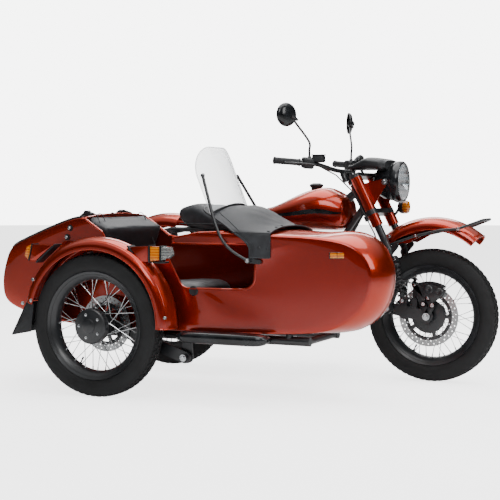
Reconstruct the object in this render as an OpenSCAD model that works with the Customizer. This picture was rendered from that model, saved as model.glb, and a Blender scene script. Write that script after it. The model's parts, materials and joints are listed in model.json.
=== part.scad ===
// Sidecar motorcycle: a boxer-twin motorcycle with a leading-link fork and a
// sidecar on its right. +X is forward, +Y is the motorcycle's left, +Z is up.

/* [Layout] */
// Distance between the front and rear axles
wheelbase = 1462; // [1380:1:1760]
// Sideways distance from the motorcycle's centre plane to the sidecar wheel
track = 1100; // [1070:1:1320]
// How far the sidecar axle sits ahead of the rear axle
wheel_lead = 230; // [190:1:280]

/* [Wheels] */
// Outer radius of every tyre
tyre_r = 326; // [306:1:346]
// Section width of every tyre
tyre_w = 106; // [88:1:128]
// Radius where the tyre bead seats on the rim
bead_r = 229; // [215:1:235]
// Number of spokes in each wheel
spoke_count = 40; // [20:4:40]
// Diameter of a spoke
spoke_d = 4; // [3:0.5:6]
// Diameter of each wheel's axle
axle_d = 20; // [16:1:24]
// Radius of the front and rear brake discs
disc_r = 148; // [125:1:160]
// Radius of the sidecar brake disc
sidecar_disc_r = 128; // [110:1:140]
// Thickness of a brake disc
disc_t = 5; // [4:0.5:6]
// Distance of each brake disc from its wheel's centre plane
disc_offset = 68; // [64:1:76]

/* [Steering] */
// Lean of the steering axis from upright
rake = 26; // [22:0.5:30]
// Distance from the front axle to where the steering axis meets the ground
steer_lead = 65; // [50:1:80]
// How far the fork tubes sit ahead of the steering axis
fork_offset = 58; // [50:1:66]
// Half the distance between the fork tubes
fork_half = 122; // [118:1:134]
// Diameter of a fork tube
fork_d = 38; // [32:1:42]
// Diameter of the painted cover round a fork tube
cover_d = 54; // [50:1:58]
// Diameter of the handlebar
bar_d = 22; // [20:1:26]
// Half the width of the handlebar
bar_half = 400; // [370:5:430]

/* [Headlamp] */
// Radius of the headlamp bucket
lamp_r = 98; // [85:1:105]
// Length of the headlamp bucket
lamp_depth = 150; // [125:1:170]

/* [Frame] */
// Diameter of the main frame tubes
frame_d = 32; // [27:1:38]
// Half the distance between the lower frame tubes
frame_half = 130; // [120:1:145]
// Height of the lower frame tubes
rail_z = 205; // [185:1:230]
// Diameter of the sidecar's frame tubes
side_frame_d = 40; // [34:1:48]

/* [Engine] */
// Height of the crankshaft
crank_z = 390; // [360:1:410]
// Distance of the crankshaft ahead of the rear axle
crank_x = 790; // [740:1:830]
// Outer radius of the cylinder fins
fin_r = 78; // [70:1:84]
// Overall half width of the engine across the rocker covers
engine_half = 385; // [350:1:395]

/* [Tank and seat] */
// Length of the fuel tank
tank_l = 480; // [430:5:560]
// Width of the fuel tank
tank_w = 300; // [260:2:350]
// Height of the fuel tank
tank_h = 216; // [190:2:240]
// Length of the rider's seat
seat_l = 475; // [430:5:520]
// Width of the rider's seat
seat_w = 290; // [250:2:330]

/* [Sidecar body] */
// Width of the sidecar body between its side panels
body_w = 560; // [500:2:590]
// Width of the sidecar body at its nose
nose_w = 260; // [200:2:320]
// Height of the lowest edge of the sidecar body
body_floor = 305; // [290:1:330]
// Thickness of the sidecar body's walls, with their lining
body_wall = 14; // [10:1:20]
// Gap round the trunk lid
lid_gap = 6; // [5:0.5:10]
// Height of the windscreen above its foot
screen_h = 280; // [220:5:340]
// Width of the windscreen
screen_w = 385; // [330:5:440]
// Thickness of the windscreen
screen_t = 4; // [3:0.5:6]

/* [Fenders] */
// Sheet thickness of the fenders
fender_t = 3; // [2:0.5:5]
// Width of the sidecar fender
side_fender_w = 134; // [124:2:144]
// Width of the front fender
front_fender_w = 164; // [140:2:176]
// Width of the rear fender
rear_fender_w = 176; // [150:2:190]

/* [Hidden] */
$fn = 48;

// Clearances
pin_gap = 0.3;     // a pin in its bore, all round
seat_gap = 0.3;    // a soft or painted piece on what carries it

// Axles
axle_z = tyre_r;
side_x = wheel_lead;
side_y = -track;

// Centre plane of the sidecar body, tied to its wheel
body_y = side_y + 388;

// The row's origin is under the middle of the whole outfit's box
tail_x = -441;
side_reach = 84;
left_reach = 467;
origin_x = (wheelbase + tyre_r + tail_x) / 2;
origin_y = (left_reach - track - side_reach) / 2;

// Steering axis
steer_x = wheelbase + steer_lead;
lower_yoke = 880;
upper_yoke = 1082;
yoke_t = 25;
top_yoke_t = 18;
stem_d = 30;
head_d = 54;

// Colours
paint = "#b83a10";
black = "#1c1d1f";
steel = "#b9bcc0";
rubber = "#141414";
vinyl = "#2a2c30";

function steer_point(ahead, y, up) =
    [steer_x + ahead * cos(rake) - up * sin(rake), y, ahead * sin(rake) + up * cos(rake)];
function steer_local(x, z) = [(x - steer_x) * cos(rake) + z * sin(rake),
    z * cos(rake) - (x - steer_x) * sin(rake)];
function mirrored(points) = [for (p = points) [p.x, -p.y, p.z]];
function ramp(t) = let (c = max(0, min(1, t))) c * c * (3 - 2 * c);
function chaikin(p) = [for (i = [0:len(p) - 1]) for (s = [0.25, 0.75])
    p[i] + (p[(i + 1) % len(p)] - p[i]) * s];

module place() translate([-origin_x, -origin_y, 0]) children();
module on_steering() translate([steer_x, 0, 0]) rotate([0, -rake, 0]) children();
module both_sides() { children(); mirror([0, 1, 0]) children(); }

// A plate or pin square to Y, drawn in X and Z, between two values of Y.
module slab(y0, y1) translate([0, y1, 0]) rotate([90, 0, 0]) linear_extrude(y1 - y0) children();
module pin(x, z, d, y0, y1) slab(y0, y1) translate([x, z]) circle(d = d);

// A flat link between two eyes.
module link(a, b, ra, rb) {
    n = [a.y - b.y, b.x - a.x] / norm(b - a);
    translate(a) circle(ra);
    translate(b) circle(rb);
    polygon([a + n * ra, b + n * rb, b - n * rb, a - n * ra]);
}

module bar(a, b, d) {
    v = b - a;
    translate(a) rotate([0, acos(v.z / norm(v)), atan2(v.y, v.x)]) cylinder(d = d, h = norm(v));
}

// Round tube through points; the ball at each bend stands a hair proud.
module tube(points, d) {
    for (i = [0:len(points) - 2]) bar(points[i], points[i + 1], d);
    for (i = [1:1:len(points) - 2]) translate(points[i]) sphere(d = d * 1.03);
}

// Welded tube of faceted links, for a frame with many joints.
module soft_tube(points, d) {
    for (i = [0:len(points) - 2]) hull() {
        translate(points[i]) sphere(d = d, $fn = 12);
        translate(points[i + 1]) sphere(d = d, $fn = 12);
    }
}

// Rounded-square loop across X, with half width w and half height h.
function squared(at, w, h, e, f, n) = [for (i = [0:n - 1]) let (c = cos(360 * i / n), s = sin(360 * i / n))
    at + [0, w * sign(c) * pow(abs(c), e), h * sign(s) * pow(abs(s), f)]];
function middle(loop) = [for (p = loop) 1] * loop / len(loop);
function backwards(loop) = [for (i = [len(loop) - 1:-1:0]) loop[i]];
// Which way a loop turns about the line from it to the next one.
function turning(a, b) = let (m = middle(a), n = len(a))
    [for (i = [0:n - 1]) 1] * [for (i = [0:n - 1]) cross(a[i] - m, a[(i + 1) % n] - m)] * (middle(b) - m);

// A closed solid through loops of points; each end is a fan about its middle.
module loft(rows) {
    half = floor(len(rows) / 2);
    loops = turning(rows[half - 1], rows[half]) > 0 ? [for (l = rows) backwards(l)] : rows;
    n = len(loops[0]);
    m = len(loops);
    polyhedron(
        concat([for (l = loops) for (p = l) p], [middle(loops[0]), middle(loops[m - 1])]),
        concat(
            [for (i = [0:n - 1]) [(i + 1) % n, i, m * n]],
            [for (k = [0:m - 2]) for (i = [0:n - 1])
                let (a = k * n + i, b = k * n + (i + 1) % n)
                each [[a, b, b + n], [a, b + n, a + n]]],
            [for (i = [0:n - 1]) [(m - 1) * n + i, (m - 1) * n + (i + 1) % n, m * n + 1]]),
        convexity = 8);
}

// A sheet between two grids of points that run the same way.
module sheet(outer, inner) {
    m = len(outer);
    n = len(outer[0]);
    loops = [for (k = [0:m - 1]) concat(outer[k], [for (i = [n - 1:-1:0]) inner[k][i]])];
    w = 2 * n;
    polyhedron(
        [for (l = loops) for (p = l) p],
        concat(
            [for (i = [0:n - 2]) each [[i + 1, i, w - 1 - i], [i + 1, w - 1 - i, w - 2 - i]]],
            [for (k = [0:m - 2]) for (i = [0:w - 1])
                let (a = k * w + i, b = k * w + (i + 1) % w)
                each [[a, b, b + w], [a, b + w, a + w]]],
            [for (i = [0:n - 2]) let (z = (m - 1) * w)
                each [[z + i, z + i + 1, z + w - 1 - i], [z + i + 1, z + w - 2 - i, z + w - 1 - i]]]),
        convexity = 8);
}

// ---------------------------------------------------------------- wheels

// Puts a wheel's own axis, its local Z, along Y at an axle.
module at_axle(x, y) translate([x, y, axle_z]) rotate([-90, 0, 0]) children();

module tyre_ring() {
    h = tyre_r - bead_r;
    w = tyre_w / 2;
    bead_w = w - 14;
    t = 10;
    lip = 16.2 / h;
    side = [[0, bead_w], [lip, bead_w + 0.6], [lip + 0.03, w - 9], [0.34, w - 2], [0.55, w],
        [0.75, w - 3], [0.89, w - 11],
        [0.97, w - 27], [1, 0]];
    bore = [[0, bead_w - t], [0.17, w - 10 - t], [0.34, w - 2 - t], [0.55, w - t], [0.72, w - 5 - t],
        [0.84, w - 14 - t], [0.88, 0]];
    edge = [for (p = side) [bead_r + seat_gap + p.x * (h - seat_gap), p.y]];
    hollow = [for (p = bore) [bead_r + seat_gap + p.x * (h - seat_gap), p.y]];
    rotate_extrude($fn = 120) polygon(concat(
        edge, [for (i = [len(edge) - 2:-1:0]) [edge[i].x, -edge[i].y]],
        [for (p = hollow) [p.x, -p.y]], [for (i = [len(hollow) - 2:-1:0]) hollow[i]]));
}

module rim_ring() {
    w = tyre_w / 2 - 12.5;
    half = [[bead_r + 15, w + 5], [bead_r + 15, w], [bead_r, w - 1], [bead_r - 3, w - 8],
        [bead_r - 13, w - 15], [bead_r - 19, w - 29]];
    under = [[bead_r - 24, w - 28], [bead_r - 17, w - 12], [bead_r - 7, w - 4], [bead_r - 2, w + 5]];
    last = len(half) - 1;
    rotate_extrude($fn = 120) polygon(concat(
        half, [for (i = [last:-1:0]) [half[i].x, -half[i].y]],
        [for (i = [len(under) - 1:-1:0]) [under[i].x, -under[i].y]], under));
}

hub_flange_r = 60;
hub_flange_z = 29;
hub_end = disc_offset - disc_t / 2 - 0.5;

// Hub, spokes and rim; disc_side is the side of the brake disc along Y.
module spoked_wheel(disc_side, axle, cap) {
    difference() {
        union() {
            rotate_extrude($fn = 72) polygon([[0, -hub_flange_z - 4], [hub_flange_r, -hub_flange_z - 4],
                [hub_flange_r, -hub_flange_z + 4], [34, -hub_flange_z + 12], [34, hub_flange_z - 12],
                [hub_flange_r, hub_flange_z - 4], [hub_flange_r, hub_flange_z + 4],
                [0, hub_flange_z + 4]]);
            mirror([0, 0, disc_side > 0 ? 0 : 1]) {
                translate([0, 0, hub_flange_z]) cylinder(r = 46, h = hub_end - hub_flange_z);
                if (cap) {
                    translate([0, 0, -side_reach + 6]) cylinder(r = 80, h = side_reach - 6 - hub_flange_z);
                    translate([0, 0, -side_reach]) cylinder(r = 32, h = 8);
                    for (a = [36:72:324]) rotate(a)
                        translate([54, 0, -side_reach + 2]) cylinder(d = 13, h = 6);
                }
                else {
                    translate([0, 0, -hub_end]) cylinder(r = 40, h = hub_end - hub_flange_z);
                }
            }
            rim_ring();
            for (side = [-1, 1], k = [0:spoke_count / 2 - 1]) {
                step = 720 / spoke_count;
                turn = 54 * (k % 2 == 0 ? 1 : -1);
                a = step * k + (side > 0 ? step / 2 : 0);
                bar([(hub_flange_r - 5) * cos(a), (hub_flange_r - 5) * sin(a), side * hub_flange_z],
                    [(bead_r - 20.5) * cos(a + turn), (bead_r - 20.5) * sin(a + turn), side * 7],
                    spoke_d, $fn = 6);
            }
        }
        deep = cap ? side_reach - 16 : hub_end + 1;
        mirror([0, 0, disc_side > 0 ? 0 : 1])
            translate([0, 0, -deep]) cylinder(d = axle + 2 * pin_gap, h = deep + hub_end + 1);
    }
}

// Drilled ring on five arms, bolted to the hub's face.
module brake_disc(r) {
    linear_extrude(disc_t, center = true) difference() {
        union() {
            difference() {
                circle(r, $fn = 96);
                circle(r - 36, $fn = 96);
            }
            circle(44);
            for (a = [0:72:288]) rotate(a) translate([30, -9]) square([r - 52, 18]);
        }
        circle(d = axle_d + 8);
        for (a = [0:12:348], k = [0:1]) rotate(a + 6 * k)
            translate([r - 26 + 15 * k, 0]) circle(d = 7, $fn = 16);
    }
}

module front_tyre() color(rubber) place() at_axle(wheelbase, 0) tyre_ring();
module rear_tyre() color(rubber) place() at_axle(0, 0) tyre_ring();
module sidecar_tyre() color(rubber) place() at_axle(side_x, side_y) tyre_ring();
module front_wheel() color(black) place() at_axle(wheelbase, 0) spoked_wheel(-1, axle_d, false);
module rear_wheel() color(black) place() at_axle(0, 0) spoked_wheel(1, axle_d, false);
module sidecar_wheel() color(black) place() at_axle(side_x, side_y) spoked_wheel(1, axle_d, true);
module front_disc() color(steel) place() at_axle(wheelbase, -disc_offset) brake_disc(disc_r);
module rear_disc() color(steel) place() at_axle(0, disc_offset) brake_disc(disc_r);
module sidecar_disc() color(steel) place() at_axle(side_x, side_y + disc_offset) brake_disc(sidecar_disc_r);

// ---------------------------------------------------------------- fork

link_in = disc_offset + disc_t / 2 + 11.5;
link_out = fork_half - fork_d / 2 - 2;
pivot = [wheelbase - 192, 360];
front_axle = [wheelbase, axle_z];
shock_eye = [wheelbase - 116, 386];
shock_top = [wheelbase - 153, 603];
leg_bend = steer_point(fork_offset, 0, 690);
leg_knee = steer_point(18, 0, 600);
fender_lug = [leg_bend.x + 34, leg_bend.z + 20];

module yoke(t) linear_extrude(t) {
    for (s = [-1, 1]) translate([fork_offset, s * fork_half]) circle(fork_d / 2 + 10);
    circle(stem_d / 2 + 16);
    translate([fork_offset - 22, -fork_half]) square([44, 2 * fork_half]);
    translate([0, -30]) square([fork_offset, 60]);
}

module fork() color(black) place() {
    on_steering() {
        translate([0, 0, lower_yoke]) yoke(yoke_t);
        translate([0, 0, upper_yoke]) yoke(top_yoke_t);
        translate([0, 0, lower_yoke]) cylinder(d = stem_d, h = upper_yoke - lower_yoke + 26);
        for (s = [-1, 1]) translate([fork_offset, s * fork_half, 690])
            cylinder(d = fork_d, h = upper_yoke + top_yoke_t - 690);
    }
    both_sides() {
        translate([0, fork_half, 0]) {
            tube([leg_bend, leg_knee, [pivot.x, 0, pivot.y]], fork_d);
            translate(leg_bend) sphere(d = fork_d * 1.03);
        }
        pin(pivot.x, pivot.y, 52, link_out + 2, fork_half + fork_d / 2);
        slab(fork_half - 6, fork_half + 6) {
            link(shock_top, [leg_knee.x, leg_knee.z + 10], 16, 20);
            link(fender_lug, [leg_bend.x - 4, leg_bend.z - 20], 14, 18);
        }
        pin(shock_top.x, shock_top.y, 16, link_in + 6, fork_half + 6);
    }
}

lamp_x = steer_x - 276;
lamp_z = 978;
lamp_face = lamp_x + 58;
lamp_bolt = steer_local(lamp_face - 64, lamp_z) - [fork_offset, lower_yoke + yoke_t + seat_gap];
// Painted sleeve round each tube, with an ear that holds the headlamp.
module fork_covers() color(paint) place() on_steering() both_sides() {
    h = upper_yoke - lower_yoke - yoke_t - 2 * seat_gap;
    translate([fork_offset, fork_half, lower_yoke + yoke_t + seat_gap]) difference() {
        union() {
            cylinder(d = cover_d, h = h);
            translate([0, 5.5 - cover_d / 2, 0]) rotate([90, 0, 0]) linear_extrude(4) {
                polygon([[0, 12], [30, 22], [62, 46], lamp_bolt + [5, -14], lamp_bolt + [0, 15],
                    [40, 132], [0, 140]]);
                translate(lamp_bolt) circle(15);
            }
        }
        translate([0, 0, -1]) cylinder(d = fork_d + 2 * seat_gap, h = h + 2);
        translate([lamp_bolt.x, 0, lamp_bolt.y]) rotate([90, 0, 0])
            cylinder(d = 16 + 2 * seat_gap, h = 80);
    }
    // the sleeve's lower half hangs below the yoke
    translate([fork_offset, fork_half, lower_yoke - 60]) difference() {
        cylinder(d = cover_d, h = 60 - seat_gap);
        translate([0, 0, -1]) cylinder(d = fork_d + 2 * seat_gap, h = 62);
    }
}

module leading_links() color(black) place() {
    both_sides() {
        slab(link_in, link_out) {
            link(pivot, front_axle, 26, 30);
            link(shock_eye, [shock_eye.x, pivot.y - 30], 15, 20);
        }
        pin(pivot.x, pivot.y, 18, link_out - 1, link_out + 2 - seat_gap);
    }
    pin(front_axle.x, front_axle.y, axle_d, -link_in - 1, link_in + 1);
    both_sides() pin(front_axle.x, front_axle.y, 30, hub_end + 7.5, link_in + 1);
    both_sides() pin(front_axle.x, front_axle.y, 32, link_out - 1, link_out + 10);
}

// Coil-over unit between two eyes square to Y.
module shock(a, b, y, d, eye_w) {
    l = norm(b - a);
    translate([a.x, y, a.y]) rotate([0, 90 - atan2(b.y - a.y, b.x - a.x), 0]) {
        translate([0, eye_w / 2, 0]) rotate([90, 0, 0]) cylinder(r = 15, h = eye_w);
        translate([0, eye_w / 2, l]) rotate([90, 0, 0]) cylinder(r = 15, h = eye_w);
        cylinder(d = d * 0.42, h = l);
        translate([0, 0, 26]) cylinder(d = d, h = 8);
        translate([0, 0, l - 40]) cylinder(d = d, h = 14);
        for (z = [38:14:l - 44]) translate([0, 0, z]) cylinder(d = d, h = 7);
    }
}

module front_shocks() color(black) place() both_sides()
    difference() {
        shock([shock_eye.x, shock_eye.y + 14], shock_top, fork_half - 1, 37, 20);
        pin(shock_top.x, shock_top.y, 16 + 2 * seat_gap, fork_half - 40, fork_half + 40);
        slab(link_in - 1, link_out + seat_gap)
            link(shock_eye, [shock_eye.x, pivot.y - 30], 15 + seat_gap, 20);
        slab(fork_half - 6 - seat_gap, fork_half + 6 + seat_gap)
            link(shock_top, [leg_knee.x, leg_knee.z + 10], 16 + seat_gap, 20 + seat_gap);
        // flat beside the fork leg
        slab(fork_half - 40, fork_half + 40) translate([leg_knee.x - 30, leg_knee.z + 12])
            square([30 + fork_d / 2 + seat_gap, 90]);
    }

// Two-piston caliper on an arm from the link; its slot straddles the disc.
module front_caliper() color(black) place() {
    difference() {
        slab(-disc_offset - 26, -disc_offset + 18) intersection() {
            translate(front_axle) difference() {
                circle(disc_r + 20, $fn = 72);
                circle(disc_r - 44, $fn = 72);
            }
            translate(front_axle) rotate(88) polygon([[0, 0], [240, -128], [240, 128]]);
        }
        slab(-disc_offset - disc_t / 2 - 5, -disc_offset + disc_t / 2 + 5)
            translate(front_axle) circle(disc_r + 6, $fn = 72);
    }
    slab(-link_in + seat_gap, -link_in + 4) link([wheelbase - 60, 448], [wheelbase - 62, 400], 18, 14);
    difference() {
        slab(-link_out, -link_in + 4) link([wheelbase - 62, 400], [wheelbase - 62, 330], 14, 10);
        slab(-link_out - 1, -link_in) link(pivot, front_axle, 26 + seat_gap, 30 + seat_gap);
    }
}

// ---------------------------------------------------------------- fenders

// Crowned sheet bent round an axle; angles run from forward, upwards.
module crowned_arc(r, w, drop, from, to, t) {
    n = 10;
    outer = [for (i = [-n:n]) let (a = 90 * i / n) [r - drop + drop * cos(a), w / 2 * sin(a)]];
    inner = [for (i = [n:-1:-n]) let (a = 90 * i / n)
        [r - drop + (drop - t) * cos(a), (w / 2 - t) * sin(a)]];
    rotate([90, 0, 0]) rotate(from) rotate_extrude(angle = to - from, $fn = 120)
        polygon(concat([[r - drop - 12, -w / 2]], outer, [[r - drop - 12, w / 2]],
            [[r - drop - 12, w / 2 - t]], inner, [[r - drop - 12, -w / 2 + t]]));
}

front_fender_at = [wheelbase + 8, 430];
front_fender_r = 380;
module front_fender() color(paint) place() {
    translate([front_fender_at.x, 0, front_fender_at.y])
        crowned_arc(front_fender_r, front_fender_w, 52, 50, 131, fender_t);
    both_sides() {
        // flap let into the sheet's edge
        slab(front_fender_w / 2 - fender_t + 0.5, front_fender_w / 2 - 0.5) polygon([
            [wheelbase - 233, 690], [wheelbase - 190, 640], [wheelbase - 110, 672], [wheelbase + 40, 734],
            [wheelbase + 40, 762], [wheelbase - 120, 730]]);
        // lug that reaches the fork's bracket
        pin(fender_lug.x, fender_lug.y, 18, front_fender_w / 2 - 1, fork_half - 6 - seat_gap);
    }
}

side_fender_at = [side_x + 6, axle_z + 14];
side_fender_r = 390;
module sidecar_fender() color(paint) place() {
    translate([side_fender_at.x, side_y + 4, side_fender_at.y])
        crowned_arc(side_fender_r, side_fender_w, 46, -2, 167, fender_t);
    // brackets to the body's side panel
    y0 = side_y + 4 + side_fender_w / 2 - 2;
    for (p = [[side_x - 110, 640], [side_x + 190, 610]])
        pin(p.x, p.y, 26, y0, body_y - body_w / 2 - seat_gap);
}

rear_fender_at = [0, 400];
rear_fender_r = 420;
module rear_fender() color(paint) place() difference() {
    union() {
        translate([rear_fender_at.x, 0, rear_fender_at.y])
            crowned_arc(rear_fender_r, rear_fender_w, 60, 78, 178, fender_t);
        both_sides() pin(30, 746, 22, rear_fender_w / 2 - 1, 104);
    }
    both_sides() soft_tube([[70, 104, seat_rail_z + 4], [-90, 104, 700]], 24 + 2 * seat_gap);
}

// Flap hung on the fender's rear end.
module mudflap() color(rubber) place() {
    a = 167;
    radial = [cos(a), sin(a)];
    tangent = [-sin(a), cos(a)];
    low = side_fender_at + (side_fender_r - 52) * radial;
    high = side_fender_at + (side_fender_r - 26) * radial;
    tip = [high.x - 84, 268];
    y = side_y + 4;
    half = side_fender_w / 2;
    slab(y - half, y + half) polygon([low + tangent * seat_gap, high + tangent * seat_gap, tip, tip + [8, -6],
        tip + [14, 0], low + tangent * 60]);
    // wings down both sides of the tyre
    for (s = [-1, 1]) slab(y + s * (half - 2.5) - 2.5, y + s * (half - 2.5) + 2.5) polygon([
        low + tangent * seat_gap, high + tangent * seat_gap, tip, tip + [8, -6], [tip.x + 130, 274]]);
}

// Tube rail down the front fender's sides, meeting in a loop ahead of its tip.
module fender_rail() color(black) place() {
    y = front_fender_w / 2 + 7;
    side = [[wheelbase - 215, y, 662], [wheelbase - 60, y, 716], [wheelbase + 60, y, 744],
        [wheelbase + 150, y, 752], [wheelbase + 215, y - 6, 776], [wheelbase + 262, y - 22, 794],
        [wheelbase + 272, y - 52, 796], [wheelbase + 272, 0, 796]];
    soft_tube(concat(side, [for (i = [len(side) - 2:-1:0]) [side[i].x, -side[i].y, side[i].z]]), 13);
    both_sides() for (p = [side[1], side[3]])
        pin(p.x, p.z, 9, front_fender_w / 2 + seat_gap, y, $fn = 16);
}

// ---------------------------------------------------------------- front controls

module headlamp() color(black) place() translate([lamp_face, 0, lamp_z]) rotate([0, 90, 0]) {
    rotate_extrude($fn = 96) polygon([[0, -lamp_depth], [36, -lamp_depth + 3], [66, -lamp_depth + 24],
        [lamp_r - 12, -lamp_depth + 62], [lamp_r - 6, -58], [lamp_r - 6, -48], [lamp_r, -44],
        [lamp_r + 4, -10], [lamp_r + 1, -2], [lamp_r - 6, 2], [lamp_r - 30, 9], [lamp_r - 62, 12], [0, 13]]);
    for (s = [-1, 1]) translate([0, s * (lamp_r - 8), -64]) rotate([-90 * s, 0, 0])
        cylinder(d = 16, h = 26);
}

// Padded cowl over the dial, on two posts from the upper yoke.
cowl_w = 124;
module instrument_cowl() color(vinyl) place() {
    difference() {
        loft([for (k = [0:6]) let (
            t = k / 6,
            x = lamp_x - 198 + 196 * t,
            top = lerp(1062, 1100, ramp(t * 2)) - 10 * ramp(t * 2 - 1),
            low = lerp(1040, lamp_z + 40, ramp(t)),
            w = lerp(96, cowl_w, ramp(t * 1.6)))
            squared([x, 0, (top + low) / 2], w, (top - low) / 2, 0.7, 0.7, 20)]);
        translate([lamp_face, 0, lamp_z]) rotate([0, -90, 0])
            cylinder(r = lamp_r + 5, h = lamp_depth + 40, $fn = 48);
        on_steering() translate([-60, -200, upper_yoke - 60]) cube([170, 400, 64 + top_yoke_t]);
    }
    on_steering() for (s = [-1, 1]) translate([40, s * 62, upper_yoke + top_yoke_t + seat_gap])
        cylinder(d = 14, h = 46);
}
function lerp(a, b, t) = a + (b - a) * t;

clamp_at = steer_point(-21, 0, 1156);
bar_bend = [clamp_at.x, 112, clamp_at.z + 8];
bar_inner = [clamp_at.x - 96, 270, 1088];
bar_end = [clamp_at.x - 214, bar_half, 1094];
module handlebar() color(black) place() {
    half = [bar_end, bar_inner, bar_bend];
    tube(concat(half, mirrored([bar_bend, bar_inner, bar_end])), bar_d);
    on_steering() for (s = [-1, 1]) translate([-21, s * 42, upper_yoke + top_yoke_t + seat_gap])
        cylinder(d = 34, h = 1156 - upper_yoke - top_yoke_t);
}

function along(a, b, t) = a + (b - a) * t;
function grip_point(t) = along(bar_inner, bar_end, t);

// Grips, switch pods, levers and the brake reservoir.
module hand_controls() color(rubber) place() difference() {
    union() {
        both_sides() {
            bar(grip_point(0.34), grip_point(1.03), 34);
            bar(grip_point(0.02), grip_point(0.3), 46);
            tube([grip_point(0.06) + [26, 0, -4], grip_point(0.3) + [62, 0, -10],
                grip_point(1) + [58, 0, -12]], 12);
            bar(grip_point(0.06), grip_point(0.06) + [30, 0, -4], 24);
        }
        translate(mirrored([grip_point(0)])[0] + [26, -6, 24]) cube([58, 46, 34], center = true);
        bar(mirrored([grip_point(0.02)])[0], mirrored([grip_point(0)])[0] + [26, -6, 20], 20);
    }
    both_sides() bar(grip_point(-0.4), grip_point(1.01), bar_d + 2 * seat_gap);
}

mirror_root = grip_point(0.12) + [0, 0, 20];
mirror_at = [mirror_root.x - 46, 418, 1297];
module mirrors() color(black) place() both_sides() {
    tube([mirror_root + [0, 0, 4], mirror_root + [0, 4, 70],
        mirror_at + [34, -66, -42], mirror_at + [20, -24, -8]], 9);
    translate(mirror_root + [0, 0, 3.5]) cylinder(d = 18, h = 14);
    translate(mirror_at) rotate([0, 0, 30]) rotate([0, 90, 0]) translate([0, 0, -6])
        rotate_extrude($fn = 64) polygon([[0, -2], [54, -2], [57, 1], [57, 5], [50, 13], [30, 20], [0, 23]]);
}

module front_indicators() color("#e08010") place() both_sides() {
    off = fork_offset + cover_d / 2 + seat_gap;
    tube([steer_point(off, fork_half, 850), steer_point(off + 24, fork_half, 850),
        [wheelbase - 116, 150, 842]], 14);
    translate([wheelbase - 116, 150, 842]) rotate([0, 90, 0]) rotate_extrude()
        polygon([[0, -8], [26, -4], [33, 6], [34, 40], [30, 50], [0, 52]]);
}

// Hose from the brake lever down the right fork leg to the caliper.
module brake_hose() color(rubber) place() {
    start = mirrored([grip_point(0)])[0] + [40, 4, 4];
    tube([start, start + [10, 8, -34], [steer_x - 500, -190, 1010], [steer_x - 428, -153, 930],
        steer_point(fork_offset - 24, -fork_half - 26, 790),
        [leg_bend.x - 30, -fork_half - 30, leg_bend.z - 30],
        [pivot.x + 6, -fork_half - 30, 470], [wheelbase - 110, -fork_half - 28, 500],
        [wheelbase - 40, -disc_offset - 29.4, 478]], 7);
}

// ---------------------------------------------------------------- motorcycle frame

head_low = lower_yoke + yoke_t + 6;
head_high = upper_yoke - 6;
head_mid = steer_point(0, 0, (head_low + head_high) / 2);
spine_front = steer_point(-head_d / 2 + 6, 0, head_high - 40);
down_front = steer_point(-head_d / 2 + 8, 0, head_low + 34);
down_x = head_mid.x - 92;

module steering_head() color(black) place() on_steering() difference() {
    translate([0, 0, head_low]) cylinder(d = head_d, h = head_high - head_low);
    translate([0, 0, head_low - 1]) cylinder(d = stem_d + 2 * pin_gap, h = head_high - head_low + 2);
}

spine_z = 780;
seat_rail_z = 728;
spine_knee = [head_mid.x - 190, 0, spine_z + 24];
spine_rear = [600, 0, spine_z - 52];
seat_base = 752;
// Foot and knee of the tubes behind the gearbox, clear of the rear tyre.
back_foot = [tyre_r + 26, frame_half, 250];
back_knee = [tyre_r + 26, frame_half - 10, 470];
seat_node = [410, 86, 712];
module main_frame() color(black) place() difference() {
    union() {
        soft_tube([spine_front, spine_knee, spine_rear, [430, 0, 720]], 42);
        both_sides() {
            soft_tube([down_front + [0, 14, 0], [down_x, 44, 690], [down_x - 44, frame_half, 330],
                [down_x - 90, frame_half, rail_z], [back_foot.x + 22, frame_half, rail_z], back_foot,
                back_knee, seat_node], frame_d);
            soft_tube([seat_node, [240, 100, seat_rail_z], [70, 104, seat_rail_z + 4],
                [-90, 104, 700]], 24);
            soft_tube([[back_knee.x, frame_half - 6, 400], [120, 104, 640], [60, 104, seat_rail_z]], 22);
            slab(92, arm_y + 8) link(shock_high, [80, 700], 13, 13, $fn = 24);
        }
        for (p = [[430, 88, 712], back_foot, [down_x - 90, frame_half, rail_z],
            [down_x, 44, 690]])
            soft_tube([[p.x, -p.y, p.z], p], frame_d - 4);
        soft_tube([[110, -104, seat_rail_z + 4], [110, 104, seat_rail_z + 4]], 20);
        // cross tube with two rests under the seat
        soft_tube([[240, -100, seat_rail_z - 2], [240, 100, seat_rail_z - 2]], 20);
        for (y = [-60, 60]) translate([240, y, seat_rail_z - 4])
            cylinder(d = 18, h = seat_base + 2 - seat_rail_z + 4);
        // ears that carry the centre stand's pin
        both_sides() {
            slab(96, 106) link([stand_pivot.x, stand_pivot.y], [stand_pivot.x, rail_z], 17, 17, $fn = 24);
            soft_tube([[stand_pivot.x, 100, rail_z], [stand_pivot.x, frame_half, rail_z]], 20);
        }
    }
    on_steering() translate([0, 0, head_low - 60])
        cylinder(d = head_d + 2 * seat_gap, h = head_high - head_low + 120);
}

stand_pivot = [400, 172];
stand_l = 168;
// Stowed stand: both legs lie back along the frame, with a cross bar and feet.
module centre_stand() color(black) place() {
    pin(stand_pivot.x, stand_pivot.y, 16, seat_gap - 96, 96 - seat_gap);
    both_sides() {
        slab(74, 90) link(stand_pivot, stand_pivot + [-stand_l + 12, 8], 15, 13);
        pin(stand_pivot.x - stand_l + 12, stand_pivot.y + 8, 26, 74, 118);
    }
    pin(stand_pivot.x - 70, stand_pivot.y + 4, 18, -80, 80);
}

// ---------------------------------------------------------------- engine

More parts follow.
